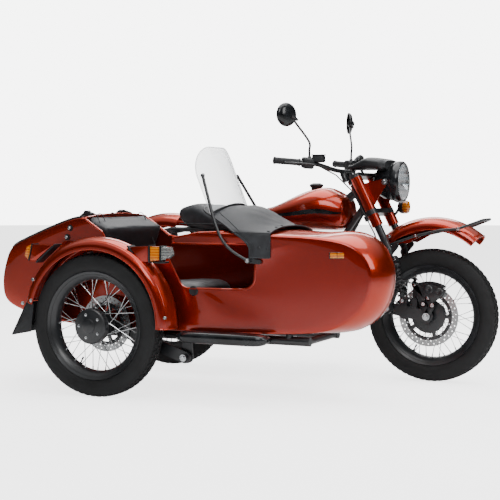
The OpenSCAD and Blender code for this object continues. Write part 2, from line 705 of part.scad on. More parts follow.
module engine_case() color("#8f9296") place() {
    front = crank_x + 160;
    slab(-98, 98) polygon([[crank_x - 150, rail_z + 26], [front - 20, rail_z + 20], [front, rail_z + 60],
        [front, crank_z + 60], [front - 50, crank_z + 130], [crank_x - 100, crank_z + 150],
        [crank_x - 150, crank_z + 110]]);
    translate([crank_x - 146, 0, crank_z + 6]) rotate([0, -90, 0]) cylinder(d1 = 250, d2 = 190, h = 60);
    slab(-78, 78) polygon([[crank_x - 200, crank_z - 70], [crank_x - 200, crank_z + 90],
        [crank_x - 350, crank_z + 60], [crank_x - 400, crank_z + 20], [crank_x - 400, crank_z - 60]]);
    translate([front - 2, 0, crank_z + 20]) rotate([0, 90, 0]) cylinder(d = 180, h = 36);
    both_sides() pin(crank_x, crank_z, 178, 96, 112);
    // lugs on the lower frame tubes
    lug = frame_half - frame_d / 2 - seat_gap;
    for (x = [crank_x - 120, crank_x + 90]) slab(-lug, lug) link([x, rail_z + 2], [x, rail_z + 36], 12, 12);
}

module cylinders() color("#9a9da1") place() both_sides() {
    head = engine_half - 108;
    pin(crank_x, crank_z, 112, 112 + seat_gap, head);
    for (y = [118:13:head - 8]) pin(crank_x, crank_z, 2 * fin_r, y, y + 5);
    slab(head, engine_half - 50) translate([crank_x, crank_z]) offset(r = 14, $fn = 32)
        square([132, 128], center = true);
    slab(engine_half - 50, engine_half) translate([crank_x, crank_z]) offset(r = 22, $fn = 32)
        square([92, 96], center = true);
}

// Throttle bodies behind the cylinders, joined to the air box over the gearbox.
module intake() color(black) place() {
    both_sides() {
        y = engine_half - 78;
        difference() {
            tube([[crank_x - 74, y, crank_z + 33], [crank_x - 170, y, crank_z + 44],
                [crank_x - 250, 120, crank_z + 130], [crank_x - 262, 60, crank_z + 150]], 46);
            head_room(seat_gap);
        }
        bar([crank_x - 100, y, crank_z + 36], [crank_x - 158, y, crank_z + 43], 64);
    }
    slab(-86, 86) polygon([[crank_x - 214, crank_z + 100], [crank_x - 214, crank_z + 230],
        [crank_x - 330, crank_z + 240], [crank_x - 346, crank_z + 84], [crank_x - 300, crank_z + 92]]);
}

muffler_y = 236;
// The cylinder head's outline, grown by a clearance.
module head_room(grow) slab(engine_half - 108 - grow, engine_half - 50 + grow)
    translate([crank_x, crank_z]) offset(r = 14 + grow, $fn = 32) square([132, 128], center = true);
module exhaust() color(steel) place() both_sides() {
    y = engine_half - 84;
    difference() {
        tube([[crank_x + 74, y, crank_z - 20], [crank_x + 124, y, crank_z - 46],
            [crank_x + 120, y - 26, 280], [crank_x + 40, muffler_y - 6, 232],
            [crank_x - 240, muffler_y, 232], [crank_x - 360, muffler_y, 262]], 40);
        head_room(seat_gap);
    }
    bar([crank_x - 352, muffler_y, 260], [crank_x - 420, muffler_y, 268], 62);
    bar([crank_x - 412, muffler_y, 267], [crank_x - 790, muffler_y, 300], 88);
    bar([crank_x - 788, muffler_y, 300], [crank_x - 850, muffler_y, 305], 52);
    bar([crank_x - 440, frame_half + frame_d / 2 + seat_gap, 268], [crank_x - 440, muffler_y, 268], 20);
}

// ---------------------------------------------------------------- tank, seat, covers

tank_front = head_mid.x - 44;
tank_top = 954;
// Half width, top and bottom along the tank, from its rear end (0) to its front (1).
function tank_half(t) = tank_w / 2 * pow(sin(8 + 150 * pow(t, 0.86)), 0.62);
function tank_ridge(t) = tank_top
    - tank_h * (0.56 * pow(1 - ramp(t * 1.25), 1.25) + 0.30 * pow(ramp((t - 0.6) * 2.2), 1.6));
function tank_base(t) = tank_top - tank_h + 46 * pow(1 - ramp(t * 1.7), 1.5) + 78 * ramp((t - 0.78) * 4);
module fuel_tank() color(paint) place() difference() {
    loft([for (k = [0:18]) let (
        t = 0.5 - 0.5 * cos(10 * k),
        e = k == 0 || k == 18 ? 0.35 : (k == 1 || k == 17 ? 0.8 : 1),
        z1 = tank_ridge(t),
        z0 = tank_base(t),
        mid = lerp(z0, z1, 0.42),
        ring = squared([tank_front - tank_l + tank_l * t, 0, 0], tank_half(t) * e, e, 0.72, 0.8, 32))
        [for (p = ring) [p.x, p.y, mid + p.z * (p.z > 0 ? z1 - mid : mid - z0)]]]);
    // tunnel over the frame's spine
    hull() for (p = [spine_front, spine_knee]) translate(p) sphere(d = 44, $fn = 24);
    for (run = [[spine_front, spine_front + [0, 0, -120]],
        [spine_knee, spine_knee + [0, 0, -120]], [spine_front + [0, 0, -60], spine_knee + [0, 0, -60]],
        [spine_front + [0, 0, -120], spine_knee + [0, 0, -120]],
        [spine_knee, spine_rear + [-60, 0, -15]], [spine_knee + [0, 0, -50], spine_rear + [-60, 0, -65]],
        [spine_front, down_front],
        [down_front, down_front + [-40, 0, -120]]])
        hull() for (p = run) translate(p) sphere(d = 60, $fn = 16);
}

cap_x = tank_front - 202;
cap_z = max([for (d = [-23, 0, 23]) tank_ridge((cap_x + d - tank_front) / tank_l + 1)]);
module fuel_cap() color(black) place() translate([cap_x, 0, cap_z + seat_gap - 1]) {
    cylinder(d = 46, h = 14);
    translate([0, 0, 12]) rotate_extrude() polygon([[0, 0], [34, 2], [36, 8], [24, 14], [0, 16]]);
}

seat_front = tank_front - tank_l - 0.8;
seat_rear = seat_front - seat_l;
module rider_seat() color(vinyl) place()
    loft([for (k = [0:14]) let (
        t = 0.5 - 0.5 * cos(180 * k / 14),
        e = sqrt(sin(5 + 170 * k / 14)),
        top = 800 + 75 * (1 - ramp((t - 0.2) * 2.2)) + 14 * ramp((t - 0.7) * 3),
        base = seat_base,
        w = seat_w / 2 * lerp(1, 0.66, ramp((t - 0.35) * 1.6)))
        squared([seat_rear + seat_l * t, 0, (top + base) / 2], w * e, (top - base) / 2 * e, 0.5, 0.55, 24)]);

// Covers on pegs from the tube behind them.
module side_covers() color(paint) place() both_sides() difference() {
    peg = function (t) back_knee + (seat_node - back_knee) * t;
    union() {
        slab(frame_half + 10, frame_half + 20) offset(r = 16, $fn = 24)
            polygon([[346, 520], [430, 500], [496, 560], [480, 660], [400, 690], [362, 640]]);
        for (p = [peg(0.3), peg(0.78)]) pin(p.x, p.z, 18, p.y, frame_half + 11);
    }
    soft_tube([back_knee, seat_node], frame_d + 2 * seat_gap);
}

module rear_lamps() color("#a01010") place() {
    // stop lamp standing on the fender's crown
    difference() {
        translate([-270, 0, 682]) rotate([0, -90, 0]) cylinder(d = 84, h = 110);
        translate([rear_fender_at.x, 0, rear_fender_at.y]) rotate([90, 0, 0])
            cylinder(r = rear_fender_r + seat_gap, h = 200, center = true, $fn = 120);
    }
    both_sides() {
        bar([-340, 79.2, 600], [-340, 190, 600], 14);
        translate([-310, 200, 600]) rotate([0, -90, 0]) cylinder(d = 66, h = 52);
    }
}

// ---------------------------------------------------------------- rear suspension

arm_y = 112;
arm_pivot = [tyre_r + 36, 330];
shock_low = [-40, 430];
arm_out = lerp(back_knee.y, frame_half, (back_knee.z - arm_pivot.y - 22) / (back_knee.z - back_foot.z))
    - frame_d / 2 - seat_gap;
shock_high = [70, 690];
module swingarm() color(black) place() {
    pin(arm_pivot.x, arm_pivot.y, 44, -arm_out, arm_out);
    slab(arm_y - 14, arm_out - 0.5) link(arm_pivot, [0, axle_z], 22, 30);
    pin(0, axle_z, axle_d, -112, arm_y + 18);
    pin(0, axle_z, 34, hub_end + 7.5, arm_y - 13);
    pin(0, axle_z, 36, arm_y, arm_y + 20);
    slab(arm_y - 12, arm_y + 8) link(shock_low, [0, axle_z], 15, 20);
}

// Shaft tube and bevel housing on the right of the rear wheel.
module final_drive() color("#6f7276") place() difference() {
    union() {
        slab(-150, -hub_end - 6) translate([0, axle_z]) circle(88, $fn = 72);
        slab(-162, -149) translate([0, axle_z]) circle(66, $fn = 72);
        bar([60, -108, axle_z], [arm_pivot.x - 10, -88, arm_pivot.y], 46);
        slab(-arm_y - 8, -100) link(shock_low, [0, axle_z], 15, 30);
    }
    pin(0, axle_z, axle_d + 2 * seat_gap, -113, 0);
    pin(arm_pivot.x, arm_pivot.y, 44 + 2 * seat_gap, -200, 200);
}

side_pivot = [side_x + 403, 191];
side_shock_low = [side_x + 172, 262];
side_shock_high = [side_x + 196, 520];
side_arm_y = body_y - body_w / 2 - 16;
side_shock_y = side_arm_y - 10;

// The rear pair and the sidecar's unit.
module shock_absorbers() color(black) place() {
    both_sides() shock(shock_low + [0, 2], shock_high, arm_y + 8 + seat_gap + 12, 46, 24);
    difference() {
        shock(side_shock_low + [0, 44], side_shock_high, side_shock_y, 38, 22);
        slab(side_arm_y - 16 - seat_gap, side_arm_y + seat_gap)
            link(side_pivot, [side_x, axle_z], 26 + seat_gap, 30 + seat_gap);
    }
}

module sidecar_swingarm() color(black) place() {
    slab(side_arm_y - 16, side_arm_y) link(side_pivot, [side_x, axle_z], 26, 30);
    pin(side_x, axle_z, axle_d, side_y - side_reach + 17, side_arm_y - 1);
    pin(side_pivot.x, side_pivot.y, 30, side_arm_y - 32, side_arm_y + 30);
}

// ---------------------------------------------------------------- foot controls

module foot_controls() color(black) place() {
    both_sides() {
        bar([452, frame_half + 4, 322], [452, 262, 330], 22);
        slab(frame_half - 6, frame_half + 8)
            link([452, 322], [452, rail_z + frame_d / 2 + 12 + seat_gap], 16, 12);
    }
    // brake pedal on the right, gear lever on the left
    slab(-190, -180) link([470, 236], [620, 262], 10, 8);
    pin(620, 262, 16, -214, -180);
    bar([470, -frame_half - 4, 236], [470, -190, 236], 18);
    slab(176, 186) link([470, 356], [600, 330], 9, 7);
    pin(600, 330, 15, 176, 226);
    bar([470, 78 + seat_gap, 356], [470, 186, 356], 16);
}

// ---------------------------------------------------------------- sidecar frame

rail_out = body_y - 170;
rail_in = body_y + 170;
side_rail_z = body_floor - side_frame_d / 2 - 12;
side_front = 1180;
side_in = body_y + body_w / 2 + 34;
upright_x = [110, side_front - 80];
module sidecar_frame() color(black) place() {
    cross_d = side_frame_d - 6;
    for (y = [rail_out, rail_in]) bar([30, y, side_rail_z], [side_front, y, side_rail_z], side_frame_d);
    for (x = [60, 300, side_front - 20])
        bar([x, rail_out, side_rail_z], [x, rail_in, side_rail_z], cross_d);
    // pads under the body, each up to the floor's curve above it
    for (p = [[120, 1.3], [560, 4.4], [1080, 2]], y = [rail_out, rail_in])
        translate([p.x, y, side_rail_z]) cylinder(d = 34, h = body_floor - side_rail_z - seat_gap - p.y);
    // uprights on the inner side, where the upper struts end
    for (x = upright_x) {
        bar([x, rail_in, side_rail_z], [x, side_in, side_rail_z], cross_d);
        translate([x, side_in, side_rail_z - cross_d / 2]) cylinder(d = cross_d + 4, h = 150);
    }
    // bracket for the wheel's arm, on a tube across both rails
    difference() {
        union() {
            slab(side_arm_y + 6, side_arm_y + 18) link(side_pivot, [side_pivot.x, side_rail_z], 28, 22);
            bar([side_pivot.x, rail_in, side_rail_z], [side_pivot.x, side_arm_y + 8, side_rail_z], cross_d);
        }
        pin(side_pivot.x, side_pivot.y, 30 + 2 * pin_gap, side_arm_y - 60, side_arm_y + 60);
    }
    // tower for the sidecar's shock absorber
    tower = [side_shock_high.x + 20, side_rail_z];
    slab(side_shock_y + 20, body_y - body_w / 2 - seat_gap) link(side_shock_high, tower, 18, 24);
    pin(side_shock_high.x, side_shock_high.y, 20, side_shock_y + 11 + seat_gap, side_shock_y + 22);
    pin(tower.x, tower.y, 34, side_shock_y + 21, rail_out);
}

// Four struts from the motorcycle's frame to the sidecar's.
module mounting_struts() color(black) place() difference() {
    union() {
        for (x = [back_foot.x + 40, down_x - 130])
            tube([[x, -frame_half, rail_z], [x, -frame_half - 200, rail_z], [x, rail_in, side_rail_z]], 28);
        bar([down_x - 23, -89, 500], [upright_x[1], side_in, side_rail_z + 100], 26);
        bar([back_knee.x, -frame_half + 9, 440], [upright_x[0], side_in, side_rail_z + 100], 26);
    }
    soft_tube(mirrored([[down_x, 44, 690], [down_x - 44, frame_half, 330],
        [down_x - 90, frame_half, rail_z], [back_foot.x + 22, frame_half, rail_z], back_foot, back_knee]),
        frame_d + 2 * seat_gap);
    soft_tube(mirrored([[back_knee.x, frame_half - 6, 400], [120, 104, 640]]), 22 + 2 * seat_gap);
    bar([30, rail_in, side_rail_z], [side_front, rail_in, side_rail_z], side_frame_d + 2 * seat_gap);
    for (x = upright_x) translate([x, side_in, side_rail_z])
        cylinder(d = side_frame_d - 2 + 2 * seat_gap, h = 140);
}

module side_step() color(black) place() {
    y = side_y + 50;
    hull() for (x = [side_x + 410, side_x + 795], dy = [-18, 18])
        translate([x, y + dy, 290]) sphere(d = 56);
    for (x = [side_x + 470, side_x + 760])
        bar([x, y + 26, 290], [x, rail_out - side_frame_d / 2 - seat_gap, side_rail_z], 26);
}

// ---------------------------------------------------------------- sidecar body

// Outline of a side panel in X and Z, from the tail over the top to the nose.
body_outline = chaikin([[-300, 368], [-386, 410], [-398, 500], [-378, 590], [-346, 664], [-250, 706],
    [10, 802], [96, 812], [230, 770], [420, 752], [700, 752], [1012, 742], [1240, 730], [1372, 696],
    [1438, 610], [1444, 520], [1412, 430], [1330, 358], [1230, body_floor + 6], [1000, body_floor],
    [600, body_floor], [200, body_floor], [-100, body_floor + 14]]);
function body_half(x) = lerp(body_w, nose_w, pow(ramp((x - 760) / 780), 0.9)) / 2
    - 26 * pow(ramp((60 - x) / 470), 1.2);
// Swell of the strip between the panels: nose and tail stand out most.
function swell(p) = 16 + 46 * ramp((p.x - 1150) / 280) + 30 * ramp((-60 - p.x) / 320)
    - 10 * ramp((body_floor + 60 - p.y) / 60);
function outward(o, i) = let (n = len(o), d = o[(i + 1) % n] - o[(i + n - 1) % n]) [-d.y, d.x] / norm(d);
function inset(o, by) = [for (i = [0:len(o) - 1]) o[i] - outward(o, i) * by];
function swelled(o, by) = [for (i = [0:len(o) - 1]) o[i] + outward(o, i) * by * swell(o[i])];

// The body as a drum: two side panels and a strip that swells between them.
module drum(wall) {
    o = inset(body_outline, wall);
    core = [620, 540];
    panel = function (size, side) [for (p = o) let (q = core + (p - core) * size)
        [q.x, body_y + side * (body_half(q.x) - wall), q.y]];
    strip = [for (s = [-1:0.25:1]) let (q = swelled(o, 1 - s * s))
        [for (i = [0:len(o) - 1]) [q[i].x, body_y + s * (body_half(o[i].x) - wall), q[i].y]]];
    loft(concat([panel(0.3, -1), panel(0.7, -1)], strip, [panel(0.7, 1), panel(0.3, 1)]));
}

cushion_half = body_w / 2 - body_wall - 22;
cushion_at = [430, 434];
cushion_l = 450;
cushion_t = 150;
cushion_lean = 4;
function cushion_under(x) = cushion_at.y - (cushion_t / 2 + seat_gap) / cos(cushion_lean)
    + (x - cushion_at.x) * tan(cushion_lean);
lid_hinge = [26, 832];
lid_rear = [-330, 664];
// Room that the lid takes in the trunk's top.
module lid_room() polygon([
    [lid_hinge.x, lid_hinge.y + 60], [lid_hinge.x, lid_hinge.y - 46], [lid_rear.x + 30, lid_rear.y - 14],
    [lid_rear.x, lid_rear.y], [lid_rear.x - 60, lid_rear.y + 36], [lid_rear.x - 40, lid_rear.y + 126]]);
module lid_plan(grow) {
    stations = concat([for (x = [lid_rear.x - 90:40:lid_hinge.x - 20]) x], [lid_hinge.x + grow]);
    half = [for (x = stations) body_half(x) - body_wall - 4 + grow];
    last = len(stations) - 1;
    translate([0, body_y, 500]) linear_extrude(500) polygon(concat(
        [for (i = [0:last]) [stations[i], -half[i]]],
        [for (i = [last:-1:0]) [stations[i], half[i]]]));
}

// Front face of the bulkhead behind the backrest, at a height.
function bulkhead(z) = 66 + (840 - z) * 0.236;

// Opening of the cockpit, lower on the outer side, with a step-in.
module cockpit_cut() {
    rim = [[92, 900], [88, 800], [151, 732], [220, 684], [289, 660], [401, 656], [700, 658], [960, 690],
        [1010, 760], [1010, 900]];
    slab(body_y - 400, body_y + 400) polygon(rim);
    slab(body_y - 400, body_y - 200) {
        hull() {
            for (p = [[636, 548], [897, 550]]) translate(p) circle(50, $fn = 24);
            for (p = [[506, 692], [945, 692]]) translate(p) circle(6, $fn = 12);
        }
        polygon([[160, 760], [206, 660], [290, 640], [520, 626], [560, 700], [560, 760]]);
    }
}

module sidecar_body() color(paint) place() difference() {
    drum(0);
    difference() {
        drum(body_wall);
        // bulkhead behind the backrest
        slab(body_y - 330, body_y + 330) polygon([[bulkhead(840) - 14, 840], [bulkhead(840), 840],
            [bulkhead(290), 290], [bulkhead(290) - 14, 290]]);
        // riser under the cushion
        front = cushion_at.x + cushion_l / 2;
        slab(body_y - 330, body_y + 330)
            polygon([[120, 280], [120, cushion_under(120)], [front, cushion_under(front)], [front, 280]]);
    }
    cockpit_cut();
    intersection() {
        slab(body_y - 330, body_y + 330) offset(delta = lid_gap) lid_room();
        lid_plan(lid_gap);
    }
    // drain slots through the floor
    for (x = [-60, 300, 520, 740, 960, 1120], y = [-110, 110]) hull() for (dx = [-14, 14])
        translate([x + dx, body_y + y, body_floor - 20]) cylinder(d = 9, h = body_wall + 40, $fn = 10);
}

// The lid's skin, with two straps that turn on the hinges' pins.
hinge_y = 150;
module trunk_lid() color(paint) place() difference() {
    union() {
        intersection() {
            difference() {
                drum(0);
                drum(body_wall);
            }
            slab(body_y - 330, body_y + 330) lid_room();
            lid_plan(0);
        }
        for (s = [-1, 1]) slab(body_y + s * hinge_y - 14, body_y + s * hinge_y + 14)
            link(lid_hinge, [lid_hinge.x - 48, lid_hinge.y - 33], 8.5, 8);
    }
    pin(lid_hinge.x, lid_hinge.y, hinge_d + 2 * pin_gap, body_y - 300, body_y + 300);
}

hinge_d = 8;
// Hinge brackets on the body, each with the pin that carries a strap.
module lid_hinges() color(black) place() difference() {
    for (s = [-1, 1]) {
        slab(body_y + s * (hinge_y + 20) - 5, body_y + s * (hinge_y + 20) + 5)
            link(lid_hinge, [lid_hinge.x + 42, lid_hinge.y - 12], 8.5, 9);
        mid = body_y + s * (hinge_y + 4);
        pin(lid_hinge.x, lid_hinge.y, hinge_d, mid - 20, mid + 20);
    }
    drum(-seat_gap);
}

// Leaning pad, rounded on every edge.
module pad(at, size, lean, round)
    translate(at) rotate([0, lean, 0]) loft([for (k = [0:8]) let (e = pow(sin(6 + 21 * k), round))
        [for (i = [0:23]) let (c = cos(15 * i), s = sin(15 * i))
            [size.x / 2 * e * sign(c) * pow(abs(c), round), size.y / 2 * e * sign(s) * pow(abs(s), round),
                -size.z / 2 * cos(22.5 * k)]]]);

module sidecar_seat() color(vinyl) place()
    pad([cushion_at.x, body_y, cushion_at.y], [cushion_l, 2 * cushion_half, cushion_t], -cushion_lean, 0.25);

// Wedge pad that fills the opening's rear end from side to side.
module sidecar_backrest() color(vinyl) place() {
    half = body_w / 2 - body_wall - 3;
    slab(body_y - half, body_y + half) polygon([for (z = [508, 772]) [bulkhead(z) + seat_gap, z],
        [93.6, 782], [95, 816], [103, 825], [118, 828], [134, 816], [165, 742], [204, 650], [258, 526],
        [254, 508]]);
}

apron_rear = 640;
apron_front = 1016;
apron_top = 866;
// Point of the padded cover over the cockpit's front: u runs forward, v across, t inwards.
// Its rear edge sweeps forward towards the sides.
function apron_point(u, v, t) = let (
    x = lerp(lerp(apron_rear, apron_front - 86, ramp((abs(v) - 0.28) / 0.62)), apron_front, u),
    w = (x - apron_rear) / (apron_front - apron_rear),
    half = body_half(x) + 9 - t,
    corner = lerp(758, 748, w) - t,
    crown = lerp(apron_top, 776, ramp((w - 0.45) * 1.8)) - t,
    edge = lerp(690, 640, ramp(w * 1.4)),
    top = min(1, abs(v) / 0.7),
    flap = max(0, abs(v) - 0.7) / 0.3)
    [x, body_y + sign(v) * half * pow(top, 0.92), lerp(lerp(crown, corner, pow(top, 2.4)), edge, flap)];
module sidecar_apron() color(vinyl) place() difference() {
    half = [0.12, 0.24, 0.38, 0.5, 0.6, 0.66, 0.7, 0.85, 1];
    across = concat([for (i = [8:-1:0]) -half[i]], [0], half);
    sheet([for (k = [0:10]) [for (v = across) apron_point(k / 10, v, 0)]],
        [for (k = [0:10]) [for (v = across) apron_point(k / 10, v, 8)]]);
    drum(-seat_gap);
}

screen_foot = [750, 858];
screen_bend = 460;
screen_round = 110;
screen_lean = 22;
// The screen's curved sheet, grown by a clearance where something holds it.
module screen_shell(grow) translate([screen_foot.x, body_y, screen_foot.y]) rotate([0, -screen_lean, 0])
    translate([-screen_bend, 0, -120]) difference() {
        cylinder(r = screen_bend + grow, h = 1.2 * screen_h + 140, $fn = 120);
        translate([0, 0, -1]) cylinder(r = screen_bend - screen_t - grow, h = 1.2 * screen_h + 142, $fn = 120);
    }
// Height of the padded cover where the screen meets it, across from the middle.
function cover_height(y) = let (top = pow(min(1, abs(y) / (body_half(690) + 9)), 1 / 0.92))
    lerp(apron_top, 757, pow(top, 2.4));
module windscreen() color("#cfe3ee", 0.5) place() intersection() {
    screen_shell(0);
    half = screen_w / 2;
    top = screen_foot.y + screen_h;
    translate([screen_foot.x - screen_bend / 2, body_y, 0]) rotate([90, 0, 90]) linear_extrude(screen_bend) {
        polygon(concat(
            [for (i = [-8:8]) let (y = i * half / 8) [y, cover_height(y) + 1]],
            [[half, top - screen_round], [-half, top - screen_round]]));
        translate([screen_round - half, screen_foot.y + 20])
            square([screen_w - 2 * screen_round, screen_h - 20]);
        for (s = [-1, 1]) translate([s * (half - screen_round), top - screen_round]) circle(screen_round);
    }
}

// Curved rods that brace the windscreen to the body's sides.
module windscreen_stays() color(black) place() difference() {
    translate([0, body_y, 0]) both_sides() {
        y = body_w / 2;
        foot = body_half(925);
        tube([[658, 181, 1000], [738, 246, 832], [788, y - 2, 744], [820, y + 6, 702],
            [860, y + 4, 666], [925, foot + 16, 628]], 10);
        translate([642, 176, 1000]) rotate([0, 90 - screen_lean, 22]) cylinder(d = 22, h = 22);
        pin(925, 628, 16, foot + 4, foot + 22);
        // foot plate shaped to the panel beside the step-in
        slab(body_half(985) - 4, foot + 6) link([925, 628], [976, 622], 11, 11);
    }
    screen_shell(seat_gap);
    drum(-seat_gap);
}

// Wedge housings for the fender's front and rear lamps, cut to sit on its crown.
module fender_lamps() color(paint) place() difference() {
    y0 = side_y - 40;
    union() {
        slab(y0, y0 + 62) polygon([[side_x + 190, 688], [side_x + 380, 690], [side_x + 388, 622],
            [side_x + 266, 622], [side_x + 220, 650]]);
        slab(y0, y0 + 56) polygon([[side_x - 200, 640], [side_x - 240, 684], [side_x - 372, 686],
            [side_x - 386, 626], [side_x - 290, 618]]);
    }
    translate([side_fender_at.x, side_y, side_fender_at.y]) rotate([90, 0, 0])
        cylinder(r = side_fender_r + seat_gap, h = 300, center = true, $fn = 120);
}

front_tyre();
front_wheel();
front_disc();
rear_tyre();
rear_wheel();
rear_disc();
sidecar_tyre();
sidecar_wheel();
sidecar_disc();
fork();
fork_covers();
leading_links();
front_shocks();
front_caliper();
front_fender();
fender_rail();
headlamp();
instrument_cowl();
handlebar();
hand_controls();
mirrors();
front_indicators();
brake_hose();
steering_head();
main_frame();
engine_case();
cylinders();
intake();
exhaust();
fuel_tank();
fuel_cap();
rider_seat();
rear_fender();
rear_lamps();
swingarm();
final_drive();
shock_absorbers();
foot_controls();
side_covers();
centre_stand();
sidecar_frame();
mounting_struts();
sidecar_swingarm();
side_step();
sidecar_body();
trunk_lid();
lid_hinges();
sidecar_seat();
sidecar_backrest();
sidecar_apron();
windscreen();
windscreen_stays();
sidecar_fender();
fender_lamps();
mudflap();
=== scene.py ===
"""Looks of a sidecar motorcycle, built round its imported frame.

The tub, fenders, tank, cushions, wheels and lamps are modelled here. The
mechanical parts keep their construction shapes and get their finishes.
Lengths in the modelling code are millimetres from the rear axle's foot:
X forward, Y to the motorcycle's left, Z up.
"""
import json
from math import atan2, copysign, cos, exp, pi, radians, sin, sqrt, tan, tau

import bmesh
import bpy
from bpy.props import FloatProperty, FloatVectorProperty, IntProperty, PointerProperty
from mathutils import Matrix, Vector


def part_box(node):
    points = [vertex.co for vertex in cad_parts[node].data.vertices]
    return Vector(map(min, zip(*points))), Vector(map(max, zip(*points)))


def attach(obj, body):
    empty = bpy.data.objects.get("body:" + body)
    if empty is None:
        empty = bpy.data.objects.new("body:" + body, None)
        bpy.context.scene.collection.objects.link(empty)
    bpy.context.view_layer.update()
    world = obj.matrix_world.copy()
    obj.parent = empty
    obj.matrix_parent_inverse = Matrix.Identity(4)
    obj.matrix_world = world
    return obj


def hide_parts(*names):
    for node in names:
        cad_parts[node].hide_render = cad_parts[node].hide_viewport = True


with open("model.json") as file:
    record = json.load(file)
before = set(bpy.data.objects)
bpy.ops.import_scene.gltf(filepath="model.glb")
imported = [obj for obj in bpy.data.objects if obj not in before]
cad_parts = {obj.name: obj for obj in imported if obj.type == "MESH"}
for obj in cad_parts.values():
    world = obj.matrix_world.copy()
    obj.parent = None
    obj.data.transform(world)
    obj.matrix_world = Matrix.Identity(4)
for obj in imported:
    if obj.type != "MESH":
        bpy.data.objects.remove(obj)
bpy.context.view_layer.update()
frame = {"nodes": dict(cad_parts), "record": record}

bl_info = {
    "name": "Sidecar Motorcycle",
    "version": (1, 0, 0),
    "blender": (4, 5, 0),
    "location": "View3D > Sidebar > Sidecar",
    "description": "Builds the visible pieces and finishes of a sidecar motorcycle",
    "category": "Object",
}

# ---------------------------------------------------------------- frame

MM = 0.001


def centre(node):
    """Middle of a construction node's box, in metres."""
    low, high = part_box(node)
    return (low + high) / 2


REAR = centre("rear_tyre")
FRONT = centre("front_tyre")
SIDE = centre("sidecar_tyre")
TO_FRAME = Matrix.Translation((REAR.x, REAR.y, 0)) @ Matrix.Scale(MM, 4)


def local(point):
    """A frame point in the modelling millimetres."""
    return TO_FRAME.inverted() @ Vector(point)


AXLE_Z = local(REAR).z
TYRE_R = AXLE_Z
WHEELBASE = local(FRONT).x
SIDE_X, SIDE_Y = local(SIDE).x, local(SIDE).y
RAKE = radians(26)
STEER_X = WHEELBASE + 65


def steer_point(ahead, y, up):
    """A point ahead of the steering axis and up along it."""
    return Vector((STEER_X + ahead * cos(RAKE) - up * sin(RAKE), y,
                   ahead * sin(RAKE) + up * cos(RAKE)))


def lerp(a, b, t):
    """The value a share t of the way from a to b."""
    return a + (b - a) * t


def ramp(t):
    """Smooth step from 0 to 1."""
    t = max(0.0, min(1.0, t))
    return t * t * (3 - 2 * t)


def signed_power(value, power):
    """Power of a value's size, with the value's sign."""
    return copysign(abs(value) ** power, value)


# ---------------------------------------------------------------- materials

def linear(hex_colour, alpha=1.0):
    """sRGB hex to the linear colour that a shader takes."""
    channels = [int(hex_colour[i:i + 2], 16) / 255 for i in (1, 3, 5)]
    return [c / 12.92 if c <= 0.04045 else ((c + 0.055) / 1.055) ** 2.4 for c in channels] + [alpha]


def per_metre(size_mm):
    """Scale of a pattern whose features are size_mm across."""
    return 1000 / size_mm


def add(tree, kind, inputs=None, **settings):
    """Adds a node with its settings, and sets or links its inputs."""
    node = tree.nodes.new(kind)
    for key, value in settings.items():
        setattr(node, key, value)
    for socket, value in (inputs or {}).items():
        if isinstance(value, bpy.types.NodeSocket):
            tree.links.new(value, node.inputs[socket])
        else:
            node.inputs[socket].default_value = value
    return node


def surface(name, settings):
    """A material with one principled shader; returns it, its tree, shader and Object coordinates."""
    material = bpy.data.materials.new(name)
    material.use_nodes = True
    tree = material.node_tree
    tree.nodes.clear()
    shader = add(tree, "ShaderNodeBsdfPrincipled", settings)
    add(tree, "ShaderNodeOutputMaterial", {"Surface": shader.outputs[0]})
    place = add(tree, "ShaderNodeTexCoord").outputs["Object"]
    return material, tree, shader, place


def two_tone(tree, factor, low, high, start=0.3, stop=0.7):
    """Ramp between two hex colours, driven by a pattern."""
    node = add(tree, "ShaderNodeValToRGB", {"Fac": factor})
    for element, place, colour in zip(node.color_ramp.elements, (start, stop), (low, high)):
        element.position = place
        element.color = linear(colour)
    return node.outputs["Color"]


def bumped(tree, shader, height, depth_mm, strength=1.0):
    """Raises the surface by a pattern of that depth."""
    bump = add(tree, "ShaderNodeBump", {"Height": height, "Distance": depth_mm * MM, "Strength": strength})
    tree.links.new(bump.outputs["Normal"], shader.inputs["Normal"])


def metallic_paint(name, edge, face, flake_mm=0.9):
    """Burnt-orange metallic base under clear lacquer: flakes glint, and the colour turns to a brighter orange
    where the surface turns away from the eye, a painted highlight.
    """
    material, tree, shader, place = surface(name, {
        "Metallic": 0.88, "Roughness": 0.3, "Coat Weight": 1.0, "Coat Roughness": 0.02, "Coat IOR": 1.45})
    # flakes are drawn coarser than the real 0.05 mm so that their sparkle can show
    flakes = add(tree, "ShaderNodeTexVoronoi", {"Vector": place, "Scale": per_metre(flake_mm)})
    clouds = add(tree, "ShaderNodeTexNoise", {"Vector": place, "Scale": per_metre(180), "Detail": 2.0})
    # painted highlight: the base colour runs from the deep face colour to a bright orange where the surface
    # turns away from the eye, so tops and creases look lit
    facing = add(tree, "ShaderNodeLayerWeight", {"Blend": 0.35})
    body = add(tree, "ShaderNodeMix", {
        0: facing.outputs["Facing"], 6: (*face, 1), 7: (*edge, 1)}, data_type="RGBA")
    shade = add(tree, "ShaderNodeMapRange", {
        "Value": flakes.outputs["Color"], "To Min": 0.86, "To Max": 1.14})
    drift = add(tree, "ShaderNodeMapRange", {"Value": clouds.outputs["Fac"], "To Min": 0.94, "To Max": 1.06})
    both = add(tree, "ShaderNodeMath", {0: shade.outputs[0], 1: drift.outputs[0]}, operation="MULTIPLY")
    colour = add(tree, "ShaderNodeVectorMath", {0: body.outputs[2], "Scale": both.outputs[0]},
                 operation="SCALE")
    tree.links.new(colour.outputs[0], shader.inputs["Base Color"])
    peel = add(tree, "ShaderNodeTexNoise", {"Vector": place, "Scale": per_metre(5), "Detail": 1.0})
    bumped(tree, shader, peel.outputs["Fac"], 0.02, 0.25)
    return material


